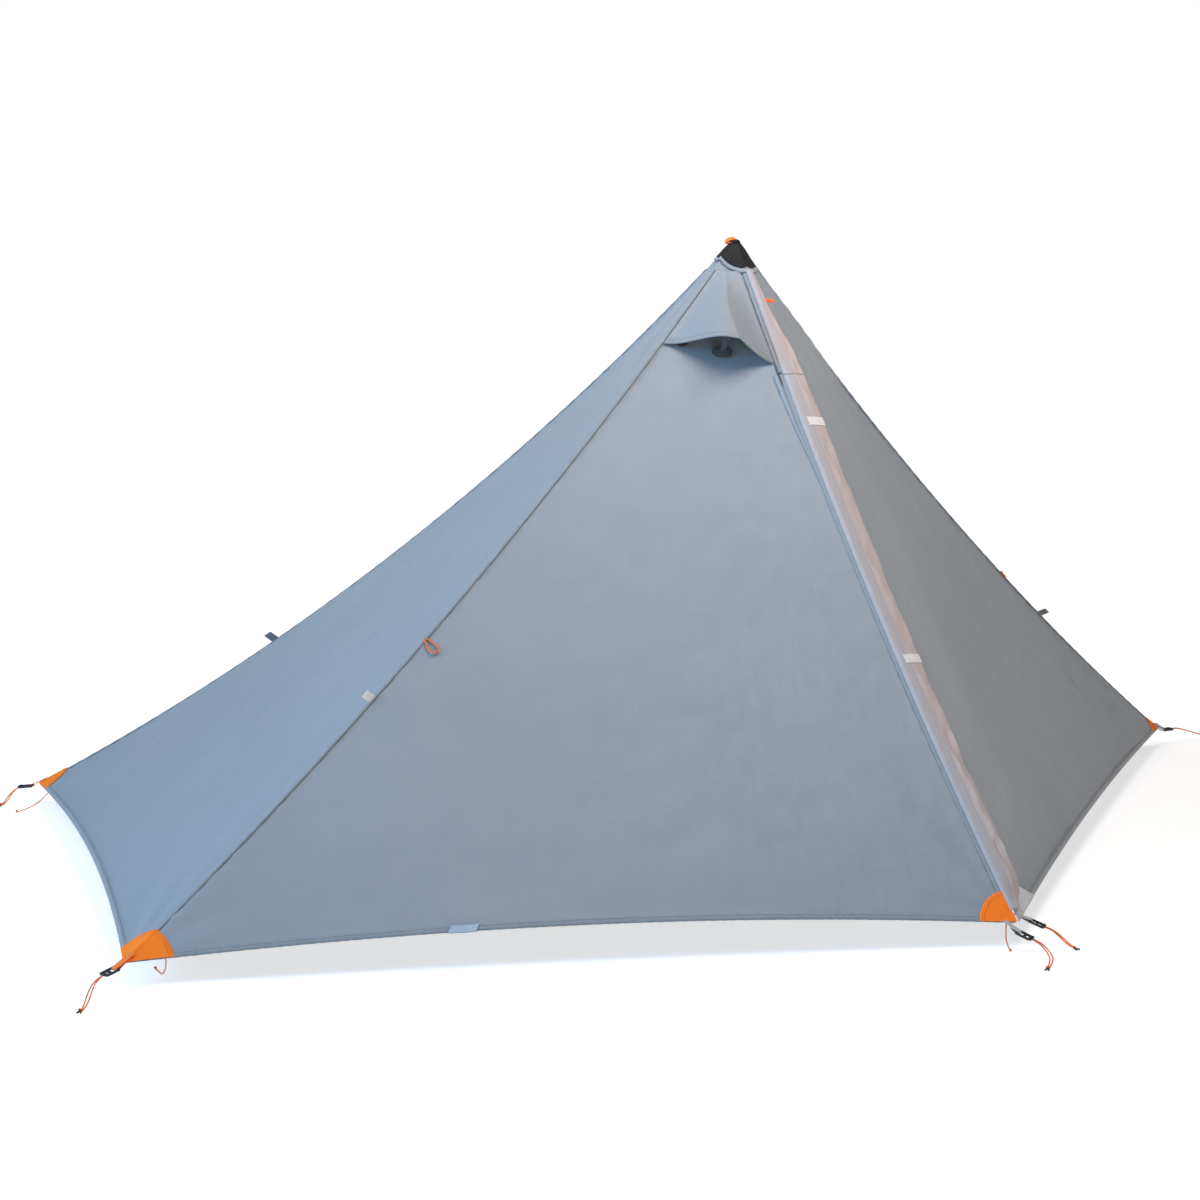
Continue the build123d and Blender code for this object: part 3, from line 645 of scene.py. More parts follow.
def guy_loop(name, lift, over=0.0, root=()):
    """A teardrop of cord lying out over the wall on a ridge's right, its ends sewn on over the ridge."""
    ridge, wall = RIDGES[name], WALL_RIGHT_OF[name]
    s = LOOP_DISTANCE / ridge.length
    normal, inward = wall.normal(s), wall.inward(s, "left")
    slope = (normal * UP.dot(normal) - UP).normalized()
    way = (inward * 0.75 + slope * 0.55).normalized()
    across = normal.cross(way)
    base = ridge.at(s) + normal * LOOP_BASE
    points = [base + (way * x + across * y + normal * z * lift) * MM for x, y, z in LOOP_SHAPE]
    for end in (0, -1):
        points[end] -= way * over
    made = spline_through(f"guy_loop_{name}_line", points, LOOP_CORD_D, "orange_cord")
    settle(made, "canopy", "orange_cord", f"guy_loop_{name}")
    others = []
    if root:
        sewn = [ridge_point(name, s + x * MM / ridge.length, "left", y * MM, ROOT_LIFT) for x, y in root]
        others = [spline_through(f"guy_loop_{name}_root", sewn, ROOT_CORD_D, "orange_cord")]
        settle(others[0], "canopy", "orange_cord")


def make_cords():
    """The stake cords, the tie cords under the corners, and two guy loops."""
    for name, route in STAKE_ROUTES.items():
        line = LINES[name]
        start = line_frame(line, line["dip"]) @ Vector((TENSIONER_FRONT, 0, 0))
        free_cord(f"stake_cord_{name}", [tuple(start), *route], STAKE_CORD_D, f"line_{name}", doubled=True)
    for name, route in TIE_ROUTES.items():
        free_cord(f"tie_cord_{name}", route, TIE_CORD_D, "canopy")
    guy_loop("a", lift=3)
    guy_loop("c", lift=12, over=0.003, root=ROOT_SHAPE)


# ---- Walls ----
# Uneven cloth: waves a metre along X, Y and Z, and how high they stand.
RIPPLES = (((1.7, 1.7, 0.9), 0.0040), ((7, 7, 5), 0.0013), ((30, 30, 18), 0.0005))
ZIP_TAPE_INSET, ZIP_COIL_INSET = 0.015, 0.0045  # from ridge b to the right wall's cloth, and the front's


def pull_creases(wall, s, t, seed):
    """How far the cloth stands off its ruled surface: pulls from the corners, long ripples and crinkles."""
    point = wall.point(s, t)
    height = 0.0
    pulls = ((wall.left.corner, 7, 0.0016), (wall.right.corner, 8, 0.0016), (PEAK, 9, 0.0008))
    for k, (corner, folds, size) in enumerate(pulls):
        away = point - corner
        distance = away.length
        angle = math.atan2(away.dot(wall.up), away.dot(wall.along))
        fade = math.exp(-distance / 0.42) * smooth(distance / 0.12)
        height += size * fade * math.sin(folds * 2 * angle + 1.7 * k + seed + 2.0 * noise.noise(away * 2.2))
    drift = Vector((point.x + seed * 3.1, point.y, point.z))
    for (x, y, z), size in RIPPLES:
        height += size * noise.noise(Vector((drift.x * x, drift.y * y, drift.z * z)))
    return height


def zip_swell(s, reach):
    """How far the right wall swells out beside ridge b, pushed by the stiff zip and flap."""
    tall = 0.014 * smooth((s - 0.03) / 0.2) * (1 - smooth((s - 0.84) / 0.10))
    return tall * smooth((reach - 0.010) / 0.045) * (1 - smooth((reach - 0.055) / 0.42))


def seam_pucker(distance, along, seed):
    """The short waves that stitching draws into the cloth beside it."""
    wave = math.sin(along * 2 * math.pi / 0.027 + 3 * noise.noise(Vector((along * 9, seed, 0))))
    return 0.0008 * math.exp(-distance / 0.016) * wave


def wall_sheet(wall, seed, rows, columns, left_inset=0.0, right_inset=0.0, keep=None):
    """A wall's cloth: held at its seams and corners, creased and rippled between them."""
    width = (wall.right.at(0.6) - wall.left.at(0.6)).length

    def place(v, u):
        s = lerp(CLOTH_TOP, wall.hem_share(u), v)
        chord = (wall.right.at(s) - wall.left.at(s)).length
        t = lerp(left_inset / chord, 1 - right_inset / chord, u)
        beside = min(t, 1 - t) * chord
        point = wall.point(s, t)
        near = min((point - wall.left.corner).length, (point - wall.right.corner).length)
        fixed = smooth(beside / 0.02) * smooth((1 - v) / 0.02) * smooth((near - 0.06) / 0.08)
        height = pull_creases(wall, s, t, seed) * fixed * smooth((s - CLOTH_TOP) / 0.05)
        height += seam_pucker(beside, s * width, seed)
        height += seam_pucker((1 - v) * wall.left.length, t * chord, seed + 5)
        if wall is RIGHT:
            height += zip_swell(s, t * chord)
        point = wall.point(s, t, height)
        return point, (point.dot(wall.along), point.dot(wall.up))

    return grid(wall.name + "_cloth", rows, columns, place, "fly_cloth", keep=keep)


def hem_band(wall, columns, left_inset, right_inset):
    """The hem: the cloth folded up on itself, a little full, with one row of stitches."""
    profile = [(0.0, -0.0010), (-0.0006, 0.0), (0.0, 0.0011), (0.004, 0.0015), (0.009, 0.0013),
               (0.0125, 0.0009), (0.0125, -0.0007)]
    length = wall.hem_length()

    def place(v, u):
        t = lerp(left_inset / length, 1 - right_inset / length, u)
        lift, height = profile[round(v * (len(profile) - 1))]
        s = wall.hem_share(t) - lift / wall.fall
        wave = u * length * 2 * math.pi / 0.021 + 4 * noise.noise(Vector((u * 30, 0, 0)))
        height += 0.0004 * math.sin(wave)
        return wall.point(s, t, height), (lift, u * length)

    return grid(wall.name + "_hem", len(profile) - 1, columns, place, "hem_cloth")


# The vent's opening in the front wall: shares down the wall, and across it at its top and foot.
WINDOW = {"top": 0.07, "foot": 0.125, "at_top": (0.24, 0.74), "at_foot": (0.14, 0.84)}


def window_sides(k):
    """The opening's two sides, from its top (0) to its foot (1)."""
    return [lerp(top, foot, k) for top, foot in zip(WINDOW["at_top"], WINDOW["at_foot"])]


def outside_window(v, u):
    """Whether a place on the front wall's cloth is outside the vent's opening."""
    s = lerp(CLOTH_TOP, FRONT.hem_share(u), v)
    low, high = window_sides((s - WINDOW["top"]) / (WINDOW["foot"] - WINDOW["top"]))
    return not (WINDOW["top"] < s < WINDOW["foot"] and low < u < high)


def fold_blend(made):
    """Bakes a piece of the front wall's place into its mesh. The door's fold line is worked out but not used.
    """
    top, foot, across = door_fold()
    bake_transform(made)


def make_walls():
    """The four walls, each with its seed for the ripples, and its rows and columns of faces."""
    for wall, seed, rows, columns in ((LEFT, 1.3, 150, 110), (BACK, 4.1, 150, 150), (RIGHT, 7.7, 150, 110),
                                      (FRONT, 2.6, 170, 130)):
        left = ZIP_TAPE_INSET if wall is RIGHT else 0.0
        right = ZIP_COIL_INSET if wall is FRONT else 0.0
        cloth = wall_sheet(wall, seed, rows, columns, left, right, outside_window if wall is FRONT else None)
        hem = hem_band(wall, 400, left + 0.004, right + 0.004)
        made = join(wall.name + "_sheet", thicken(cloth, CLOTH), thicken(hem, 0.0004))
        if wall is FRONT:
            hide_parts("front_fixed_panel", "door_panel")
            fold_blend(made)
        else:
            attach(made, "canopy")
            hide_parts(wall.name + "_panel")
        wall.hem_length()


# ---- Seams, and strips that follow a ridge ----
def strip(name, ridge, start, end, rows, profile, *materials, which=None):
    """A sheet along a ridge. profile(s, v) lists (side, reach, height) across it."""
    count = len(profile(start, 0.0))
    length = (end - start) * RIDGES[ridge].length

    def place(v, u):
        s = lerp(start, end, v)
        side, reach, height = profile(s, v)[round(u * (count - 1))]
        across = -reach if side == "left" else reach
        return ridge_point(ridge, s, side, reach, height), (across, v * length)

    return grid(name, rows, count - 1, place, *materials, which=which)


SEAM_CLOTH = 0.0005  # thickness


def seam_profile(s, v):
    """A felled seam: a low ridge of folded cloth over both walls, with waves along it."""
    lift = 0.00025 * math.sin(v * 360) + 0.0002 * noise.noise(Vector((v * 90, 1, 2)))
    half = [(0.0052, 0.0005), (0.0046, 0.0014), (0.0034, 0.0017), (0.0018, 0.0016), (0.0006, 0.0019)]
    left = [("left", reach, height + lift) for reach, height in half]
    right = [("right", reach, height) for _, reach, height in left[::-1]]
    return left + right


def make_seams():
    """The three ridges without a zip."""
    for name in "acd":
        made = strip(f"ridge_seam_{name}_felled", name, 0.045, 0.995, 420, seam_profile, "seam_cloth")
        settle(thicken(made, SEAM_CLOTH), "canopy", "seam_cloth", f"ridge_seam_{name}")


# ---- Storm flap and zip ----
FLAP_STEPS = 22  # strips of faces from the ridge to the free edge
CREASE = 0.36  # the crease's share of that way
TAB_HALF = 0.0105
SLIT_TOP, SLIT_FOOT = 0.186, 0.222


def flap_edge(s):
    """The free edge's reach into the right wall and its height off it."""
    reach = lerp(0.018, 0.044, smooth((s - 0.04) / 0.28)) - 0.012 * smooth((s - 0.40) / 0.50)
    reach = lerp(reach, 0.007, smooth((s - 0.955) / 0.030))
    return reach, 0.005 + 0.026 * smooth((s - 0.03) / 0.2) * (1 - smooth((s - 0.93) / 0.07))


def flap_section(s, lift=0.0):
    """From the sewn edge over the zip to the free edge: a flat strip, a sharp crease, then loose folds."""
    end_reach, end_height = flap_edge(s)
    hold = min(abs(s - tab) for tab in TABS_ON_FLAP)
    loose = smooth(hold / 0.035) * (1 - 0.7 * smooth((s - 0.90) / 0.05))
    gather = sum(math.exp(-(((s - tab - 0.02) / 0.02) ** 2)) for tab in TABS_ON_FLAP)
    sewn = ((0.0050, 0.0014), (0.0034, 0.0042), (0.0012, 0.0066))
    points = [("left", reach, height + lift) for reach, height in sewn]
    for i in range(FLAP_STEPS + 1):
        share = i / FLAP_STEPS
        reach = 0.0005 + (end_reach - 0.0005) * share
        height = lerp(0.0078, end_height, share) + 0.0022 * math.sin(share * math.pi)
        groove = 0.0006 * math.exp(-(((share - CREASE) / 0.035) ** 2))
        ease = smooth((share - CREASE) / 0.3)
        fold = math.sin(s * 44 - share * 5.5 + 3.2 * noise.noise(Vector((s * 12, 3, 0))))
        fold += 0.5 * math.sin(s * 118 + share * 7 + 2.2 * noise.noise(Vector((s * 26, 9, 0))))
        fold += 0.8 * gather * math.sin(s * 420 - share * 9)
        edge = 0.0020 * math.sin(s * 55 + 2.5 * noise.noise(Vector((s * 16, 5, 0)))) * loose * share**3
        size = lerp(0.0018, 0.0030, smooth((s - 0.6) / 0.3)) * ease * loose
        height += size * fold * (1 - 0.3 * share) - groove + lift
        points.append(("right", reach + edge, height))
    return points


def on_shaded_strip(v, u):
    """Whether a face of the flap is on the flat strip between the sewn edge and the crease, where a darker
    copy of the flap cloth paints shade.
    """
    return 1 if u < (3 + CREASE * FLAP_STEPS) / (3 + FLAP_STEPS) else 0


def make_flap():
    """The flap's fixed top and its moving part, with their stitches, and what is under them on the door."""
    for name, lift, rows, wide in (("storm_flap_top", 0.0008, 90, 0.050), ("storm_flap", 0.0, 420, 0.058)):
        start, end = FLAP_ENDS[name]
        made = strip(name + "_cloth", "b", start, end, rows, lambda s, v, h=lift: flap_section(s, h),
                     "flap_cloth", "flap_strip_shade", which=on_shaded_strip)
        thicken(made, SEAM_CLOTH)
        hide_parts(name)
        if name == "storm_flap":
            edge = ridge_point("b", 0.5, "left", 0.005, 0.0014)
            way = (ridge_point("b", 0.5, "right", 0.010, 0.012) - edge).normalized()
            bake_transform(made)
        else:
            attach(made, "canopy")
        body, end = ("door", end) if name == "storm_flap" else ("canopy", FOLD_TOP - FOLD_GAP)
        line = strip(name + "_stitches", "b", start, end, rows, flap_seam_profile, "seam_cloth")
        settle(thicken(line, SEAM_CLOTH), body, "seam_cloth")
    # The strip's bluer cloth is a painted highlight of light showing through.
    facing = strip("zip_facing_highlight", "b", FOLD_TOP + FOLD_GAP, 0.44, 240, facing_profile, "facing_painted_highlight")
    settle(thicken(facing, 0.0004), "door", "fly_cloth")
    # Dark sheets in the gap at the top of the door's zip, by the hood: painted shade in the gap.
    slit_parts = (("canopy", SLIT_TOP, FOLD_TOP - FOLD_GAP), ("door", FOLD_TOP + FOLD_GAP, SLIT_FOOT))
    for body, start, end in slit_parts:
        slit = strip("zip_gap_shade_" + body, "b", start, end, 16, slit_shade_profile, "zip_metal")
        settle(thicken(slit, 0.0006), body, "zip_tape")


def flap_seam_profile(s, v):
    """The felled edge where the flap is sewn to the door, on the front of the ridge."""
    lift = 0.0002 * math.sin(v * 300)
    section = ((0.0120, 0.0008), (0.0115, 0.0016), (0.0085, 0.0021), (0.0052, 0.0021), (0.0046, 0.0016))
    return [("left", reach, height + lift) for reach, height in section]


def facing_profile(s, v):
    """The doubled strip of cloth inside the door's edge, wide at the top and narrow lower down. Its bluer
    cloth is a painted highlight of light showing through along the door's edge.
    """
    lift = 0.0003 * noise.noise(Vector((v * 60, 3, 7)))
    wide = lerp(0.0255, 0.0125, smooth((v - 0.02) / 0.75))
    return [("left", wide, 0.0006), ("left", wide - 0.0005, 0.0013 + lift),
            ("left", lerp(0.0115, wide, 0.5), 0.0015 + lift), ("left", 0.0115, 0.0010)]


def slit_shade_profile(s, v):
    """A dark sheet in the gap at the top of the door's zip: painted shade inside the gap."""
    share = (s - SLIT_TOP) / (SLIT_FOOT - SLIT_TOP)
    wide = 0.0032 * math.sqrt(max(0.0, math.sin(share * math.pi)))
    section = ((0.4 * wide, 0.0024), (0.0, 0.0027), (-0.6 * wide, 0.0030))
    return [("left", 0.0132 + aside, height) for aside, height in section]


def make_flap_tabs():
    """Pale tabs over the flap, and the pads they grip on the wall behind."""
    tabs, pads = [], []
    half = TAB_HALF / RIDGES["b"].length
    for s in TABS_ON_FLAP:
        reach, height = flap_edge(s)
        section = flap_section(s)[5:]
        wrap = [("right", reach + 0.0022, height - 0.0006), ("right", reach + 0.0016, height - 0.0034),
                ("right", reach - 0.004, height - 0.0040)]

        def over(at, v):
            rise = 0.0010 + 0.0004 * math.sin(v * math.pi)
            return [(side, across, up + rise) for side, across, up in section] + wrap

        def under(at, v):
            heights = [zip_swell(s, reach) + 0.0007 + 0.0004 * (0 < k < 6) for k in range(7)]
            return [("right", reach - 0.016 + 0.002 * k, height) for k, height in enumerate(heights)]

        tab = strip(f"flap_tab_{s}", "b", s - half, s + half, 8, over, "pale_hook_tape")
        tabs.append(thicken(tab, 0.0009, round_edge=0.0003))
        pad_under = strip(f"flap_pad_{s}", "b", s - half, s + half, 8, under, "pale_hook_tape")
        pads.append(thicken(pad_under, 0.0006))
    settle(join("flap_tabs_tape", *tabs), "flap", "pale_hook_tape", "flap_tabs")
    settle(join("flap_pads_tape", *pads), "canopy", "pale_hook_tape", "flap_pads")


def make_pulls():
    """Soft tabs on the zip sliders: a waist, a rounded end and three grip ribs."""
    for name, s, lift, end in (("top", 0.0935, 0.020, 0.041), ("low", 0.950, 0.014, 0.028)):
        def place(v, u):
            along = lerp(0.006, end, v)
            waist = 0.0026 + 0.0016 * smooth((v - 0.15) / 0.25)
            half = waist * math.sqrt(max(0.0, 1 - max(0.0, (v - 0.86) / 0.14) ** 2)) if v > 0.86 else waist
            across = (2 * u - 1) * max(half, 0.0004)
            rib = 0.0004 * max(0.0, math.sin(v * 2 * math.pi * 7)) * (0.35 < v < 0.85)
            dome = 0.0012 * (1 - (2 * u - 1) ** 2) + rib
            middle = ridge_point("b", s, "right", along, 0.0028 + dome + lift * v)
            return middle + RIDGES["b"].tangent(s) * across, (across, along)

        made = grid(f"zip_pull_{name}_tab", 48, 12, place, "orange_pull")
        thicken(made, 0.0012, round_edge=0.0003)
        body = "upper_slider" if name == "top" else "lower_slider"
        settle(made, body, "orange_pull", f"zip_pull_{name}")


ZIP_TOP, ZIP_FOOT, COIL_PITCH = 0.075, 0.965, 0.0032


def make_zip_coils():
    """The zip's tapes, each with a coil that turns once every 3.2 mm."""
    pieces = (("zip_top_half", "left", 0.0125, ZIP_TOP, FOLD_TOP - 2 * FOLD_GAP, "canopy"),
              ("zip_door_half", "left", 0.0125, FOLD_TOP + 2 * FOLD_GAP, ZIP_FOOT, "door"),
              ("zip_wall_half", "right", 0.0175, ZIP_TOP, ZIP_FOOT, "canopy"))
    for node, side, wide, start, end, body in pieces:
        count = int((end - start) * RIDGES["b"].length / COIL_PITCH)
        points = []
        for i in range(count * 6 + 1):
            s = lerp(start, end, i / (count * 6))
            a = i / 6 * 2 * math.pi
            points.append(ridge_point("b", s, side, 0.0030 + 0.0011 * math.cos(a), 0.0010 * math.sin(a)))
        made = spline_through(node + "_coil", points, 0.0007, "zip_metal")
        made.data.bevel_resolution = 1  # a few faces do for so thin a thread
        made.data.splines[0].resolution_u = 2
        settle(made, body, "zip_tape")
        section = [(side, 0.0036, 0), (side, 0.006, -0.0006), (side, 0.009, -0.0012), (side, wide, -0.0014)]
        tape = strip(node + "_tape", "b", start, end, 120, lambda s, v: section, "zip_tape")
        settle(thicken(tape, 0.0007), body, "zip_tape", node)


# ---- Peak ----
def ridge_at_height(name, z):
    """The point of a ridge at a height, found by halving."""
    low, high = 0.0, 1.0
    for _ in range(30):
        middle = (low + high) / 2
        low, high = (middle, high) if RIDGES[name].at(middle).z > z else (low, middle)
    return RIDGES[name].at(low)


def cap_ring(z, grow, count, rounds):
    """A level ring round the peak's four ridges, its corners softened over some rounds."""
    corners = [ridge_at_height(k, z) for k in "abcd"]
    centre = sum(corners, Vector()) / 4
    corners = [c + (c - centre).normalized() * grow for c in corners]
    ring = []
    for i in range(count):
        k = 4 * i / count
        ring.append(lerp(corners[int(k)], corners[(int(k) + 1) % 4], k - int(k)))
    for _ in range(rounds):
        ring = [ring[i] * 0.5 + (ring[i - 1] + ring[(i + 1) % count]) * 0.25 for i in range(count)]
    return ring


CAP_APEX = 1.316
CAP_SIDES = 64  # faces round the cap
BAND_SIDES = 96
CAP_SCALLOP, CAP_LEAN = 0.0035, 0.40  # how far the foot dips between ridges, and rises towards the left
# The seam tape round the cap's foot: how high, and how far out from the ridges.
CAP_BAND = ((1.2520, 0.0044), (1.2490, 0.0056), (1.2450, 0.0058), (1.2410, 0.0056), (1.2380, 0.0044))


def raised(point, rise):
    """The point lifted, and drawn in toward the axis as the roof narrows."""
    shrink = (CAP_APEX - point.z - rise) / (CAP_APEX - point.z)
    return Vector((point.x * shrink, point.y * shrink, point.z + rise))


def make_cap():
    """The black cap: a soft pyramid over the pole's end, its hemmed foot drawn down between ridges."""
    levels = []
    for i in range(30):
        v = i / 29
        z = lerp(1.3035, 1.2485, v)
        grow = lerp(0.0040, 0.0062, smooth(v * 3)) + 0.0006 * math.exp(-(((v - 0.86) / 0.03) ** 2))
        ring = cap_ring(min(z, 1.302), grow, CAP_SIDES, 9 - int(4 * v))
        middle = sum(ring, Vector()) / CAP_SIDES
        blunt = 0.0105 * (1 - smooth(v / 0.35))
        levels.append([p + (p - middle).normalized() * max(0.0, blunt - (p - middle).length) for p in ring])
    top = sum(levels[0], Vector()) / CAP_SIDES

    def place(v, u):
        k = v * 33
        i = round(u * CAP_SIDES) % CAP_SIDES
        if k < 4:
            share = math.sin(k / 4 * math.pi / 2)
            rise = 0.0052 * math.cos(k / 4 * math.pi / 2)
            point = lerp(Vector((top.x, top.y, levels[0][i].z)), levels[0][i], share) + UP * rise
        else:
            point = levels[min(29, round(k) - 4)][i].copy()
            point.z -= CAP_SCALLOP * math.sin(u * 4 * math.pi) ** 2 * smooth((v - 0.5) / 0.5)
            point = raised(point, CAP_LEAN * max(0.0, -point.x) * smooth((v - 0.3) / 0.7))
            crease = 0.0007 * noise.noise(Vector((point.x * 60, point.y * 60, point.z * 25)))
            point += Vector((point.x, point.y, 0)).normalized() * crease
        return point, (v * 0.07 - 0.058 if v > 0.8 else 0.03, u * 0.4)

    made = grid("peak_cap_cloth", 33, CAP_SIDES, place, "black_cloth", wrap=True)
    settle(thicken(made, 0.0012), "canopy", "black_cloth", "peak_cap")
    band_rings = [cap_ring(z, grow, BAND_SIDES, 4) for z, grow in CAP_BAND]

    def band(v, u):
        point = band_rings[round(v * 4)][round(u * BAND_SIDES) % BAND_SIDES].copy()
        point.z -= CAP_SCALLOP * math.sin(u * 4 * math.pi) ** 2
        point = raised(point, CAP_LEAN * max(0.0, -point.x))
        return point, (lerp(-0.0052, 0.0052, v), u * 0.45)

    tape = grid("peak_band", 4, BAND_SIDES, band, "seam_cloth", wrap=True)
    settle(thicken(tape, 0.0006), "canopy", "seam_cloth")


def ribbon(name, points, across, thickness, material, smooth_steps=10):
    """Webbing along a smooth path through the points, with across as half its width."""
    count = len(points) - 1

    def at(k):
        """A Catmull-Rom curve through the points, k of them along."""
        i = min(count - 1, max(0, int(k)))
        f = k - i
        p = [points[max(0, min(count, i + d))] for d in (-1, 0, 1, 2)]
        a = p[1] * 2
        b = p[2] - p[0]
        c = p[0] * 2 - p[1] * 5 + p[2] * 4 - p[3]
        d = -p[0] + p[1] * 3 - p[2] * 3 + p[3]
        return (a + b * f + c * f * f + d * f**3) * 0.5

    rows = count * smooth_steps
    path = [at(i / smooth_steps) for i in range(rows + 1)]
    travelled = [0.0]
    for p, q in zip(path, path[1:]):
        travelled.append(travelled[-1] + (q - p).length)
    half = across.length

    def place(v, u):
        i = round(v * rows)
        return path[i] + across * (2 * u - 1), (half * (2 * u - 1) + 0.01, travelled[i])

    made = grid(name, rows, 6, place, material)
    return thicken(made, thickness, round_edge=thickness * 0.3)


def make_peak_loop():
    """The hang loop: a short bight of webbing sewn over the cap's top, lying over to the left."""
    top = Vector((-0.002, -0.002, 1.3078))
    shape = [(0.001, -0.001), (-0.004, 0.0016), (-0.010, 0.0010), (-0.017, -0.0022), (-0.0215, -0.0062),
             (-0.0190, -0.0078), (-0.013, -0.0052), (-0.008, -0.0044)]
    points = [top + Vector((x, 0, z)) for x, z in shape]
    made = ribbon("peak_hang_loop", points, Vector((0, 0.0042, 0.0026)), 0.0013, "orange_webbing")
    settle(made, "canopy", "orange_webbing", "peak_loop")


# ---- Vent hood ----
BRIM_BULGE = 0.072
BRIM_CREASE = 0.645  # its share of the way across the brim
HOOD_INSETS = (0.006, 0.016)  # from ridges a and b
HOOD_OFF_WALL = 0.002


def hood_point(u, k, height=0.0):
    """The hood from its top edge (u = 0) to the brim (u = 1), and from ridge a (k = 0) to b (k = 1)."""
    s_left, s_right = lerp(HOOD_TOP[0], HOOD_BRIM[0], u), lerp(HOOD_TOP[1], HOOD_BRIM[1], u)
    normal = FRONT.normal((s_left + s_right) / 2)
    p = RIDGES["a"].at(s_left) + FRONT.inward(s_left, "left") * HOOD_INSETS[0]
    q = RIDGES["b"].at(s_right) + FRONT.inward(s_right, "right") * HOOD_INSETS[1]
    bulge = 0.002 + (BRIM_BULGE - 0.002) * u**1.3
    crease = lerp(0.42, BRIM_CREASE, u**0.8)
    if k < crease:
        across = k / crease * BRIM_CREASE
    else:
        across = BRIM_CREASE + (k - crease) / (1 - crease) * (1 - BRIM_CREASE)
    return lerp(p, q, k) + normal * (bulge * brim_rise(across) + HOOD_OFF_WALL + height)


def brim_rise(k):
    """The brim's share of its full height: a slow swell from the left, a sharp crease, then a fall."""
    if k < BRIM_CREASE:
        return 0.96 * smooth(k / 0.55) + 0.04 * k / BRIM_CREASE
    return (1 - (k - BRIM_CREASE) / (1 - BRIM_CREASE)) ** 1.35


def make_hood():
    """The hood's cloth, and the hem along its brim."""
    def cloth(v, u):
        point = hood_point(v, u, 0.0006 * noise.noise(Vector((u * 6, v * 9, 4))) * (1 - v))
        return point, (u * 0.25, v * 0.19)

    made = thicken(grid("vent_hood_cloth", 44, 72, cloth, "fly_cloth"), CLOTH)
    edge_profile = [(1.0, -0.0012), (1.004, 0.0), (1.0, 0.0014), (0.975, 0.0017), (0.945, 0.0014),
                    (0.93, 0.0008)]

    def edge(v, u):
        reach, height = edge_profile[round(v * 5)]
        return hood_point(reach, u, height), ((1 - reach) * 0.17, u * 0.25)

    hem = thicken(grid("vent_hood_hem", 5, 72, edge, "hem_cloth"), 0.0006)
    hood = join("vent_hood_sheet", made, hem)
    settle(hood, "canopy", "fly_cloth", "vent_hood", "hood_brim_stiffener")


def make_window():
    """The net behind the vent's opening, and the binding tape round it."""
    def mesh_cloth(v, u):
        s = lerp(WINDOW["top"] - 0.006, WINDOW["foot"] + 0.006, v)
        low, high = window_sides(v)
        t = lerp(low - 0.03, high + 0.03, u)
        sag = 0.002 * math.sin(u * math.pi) * math.sin(v * math.pi)
        return FRONT.point(s, t, -0.0012 - sag), (u * 0.15, v * 0.1)

    mesh = grid("vent_net", 16, 24, mesh_cloth, "mesh_cloth")
    settle(thicken(mesh, 0.0005), "canopy", "mesh_cloth", "vent_mesh")
    corners = [(WINDOW["top"], WINDOW["at_top"][0]), (WINDOW["top"], WINDOW["at_top"][1]),
               (WINDOW["foot"], WINDOW["at_foot"][1]), (WINDOW["foot"], WINDOW["at_foot"][0])]
    middle = ((WINDOW["top"] + WINDOW["foot"]) / 2, sum(WINDOW["at_top"]) / 2)
    count = 80

    def place(v, u):
        k = 4 * (round(u * count) % count) / count
        a, b = corners[int(k)], corners[(int(k) + 1) % 4]
        s, t = lerp(a[0], b[0], k - int(k)), lerp(a[1], b[1], k - int(k))
        grow = lerp(0.90, 1.16, v)
        s, t = middle[0] + (s - middle[0]) * grow, middle[1] + (t - middle[1]) * grow
        return FRONT.point(s, t, 0.0012 + 0.0006 * math.sin(v * math.pi)), (lerp(-0.005, 0.005, v), u * 0.4)

    tape = grid("vent_window_tape", 4, count, place, "seam_cloth", wrap=True)
    settle(thicken(tape, 0.0005), "canopy", "seam_cloth")


STRUT_PIVOT_SHARE, STRUT_LIFT = 0.158, 0.052
STRUT_LONG, STRUT_TOP_HALF, STRUT_FOOT_HALF = 0.0455, 0.0125, 0.0060
STRUT_SHIFT = 0.026  # the strap's top along the brim from the pivot
PAD_SHIFT = (0.012, -0.019)  # along the brim and up the wall, from below the strut's pivot


def strut_place():
    """The strut's pivot, and the ways along the brim, up the wall and off it."""
    normal = FRONT.normal(STRUT_PIVOT_SHARE)
    along = (FRONT.right.at(STRUT_PIVOT_SHARE) - FRONT.left.at(STRUT_PIVOT_SHARE)).normalized()
    return FRONT.point(STRUT_PIVOT_SHARE, 0.5) + normal * STRUT_LIFT, along, normal.cross(along), normal


def pad(name, middle, along, up, normal, half_long, half_wide, thickness):
    """A soft oval pad of hook-and-loop tape, a little thicker in the middle."""
    def place(v, u):
        a = u * 2 * math.pi
        r = math.sin(v * math.pi / 2)
        notch = 1 - 0.16 * math.exp(-(((a - math.pi / 2) / 0.4) ** 2))
        shape = math.copysign(abs(math.cos(a)) ** 0.8, math.cos(a)), math.sin(a) * notch
        dome = thickness * (1 - 0.35 * r**4)
        x, y = shape[0] * half_long * r, shape[1] * half_wide * r
        return middle + along * x + up * y + normal * dome, (x, y)

    made = grid(name, 10, 40, place, "black_hook_tape", wrap=True)
    return thicken(made, thickness, offset=1.0)


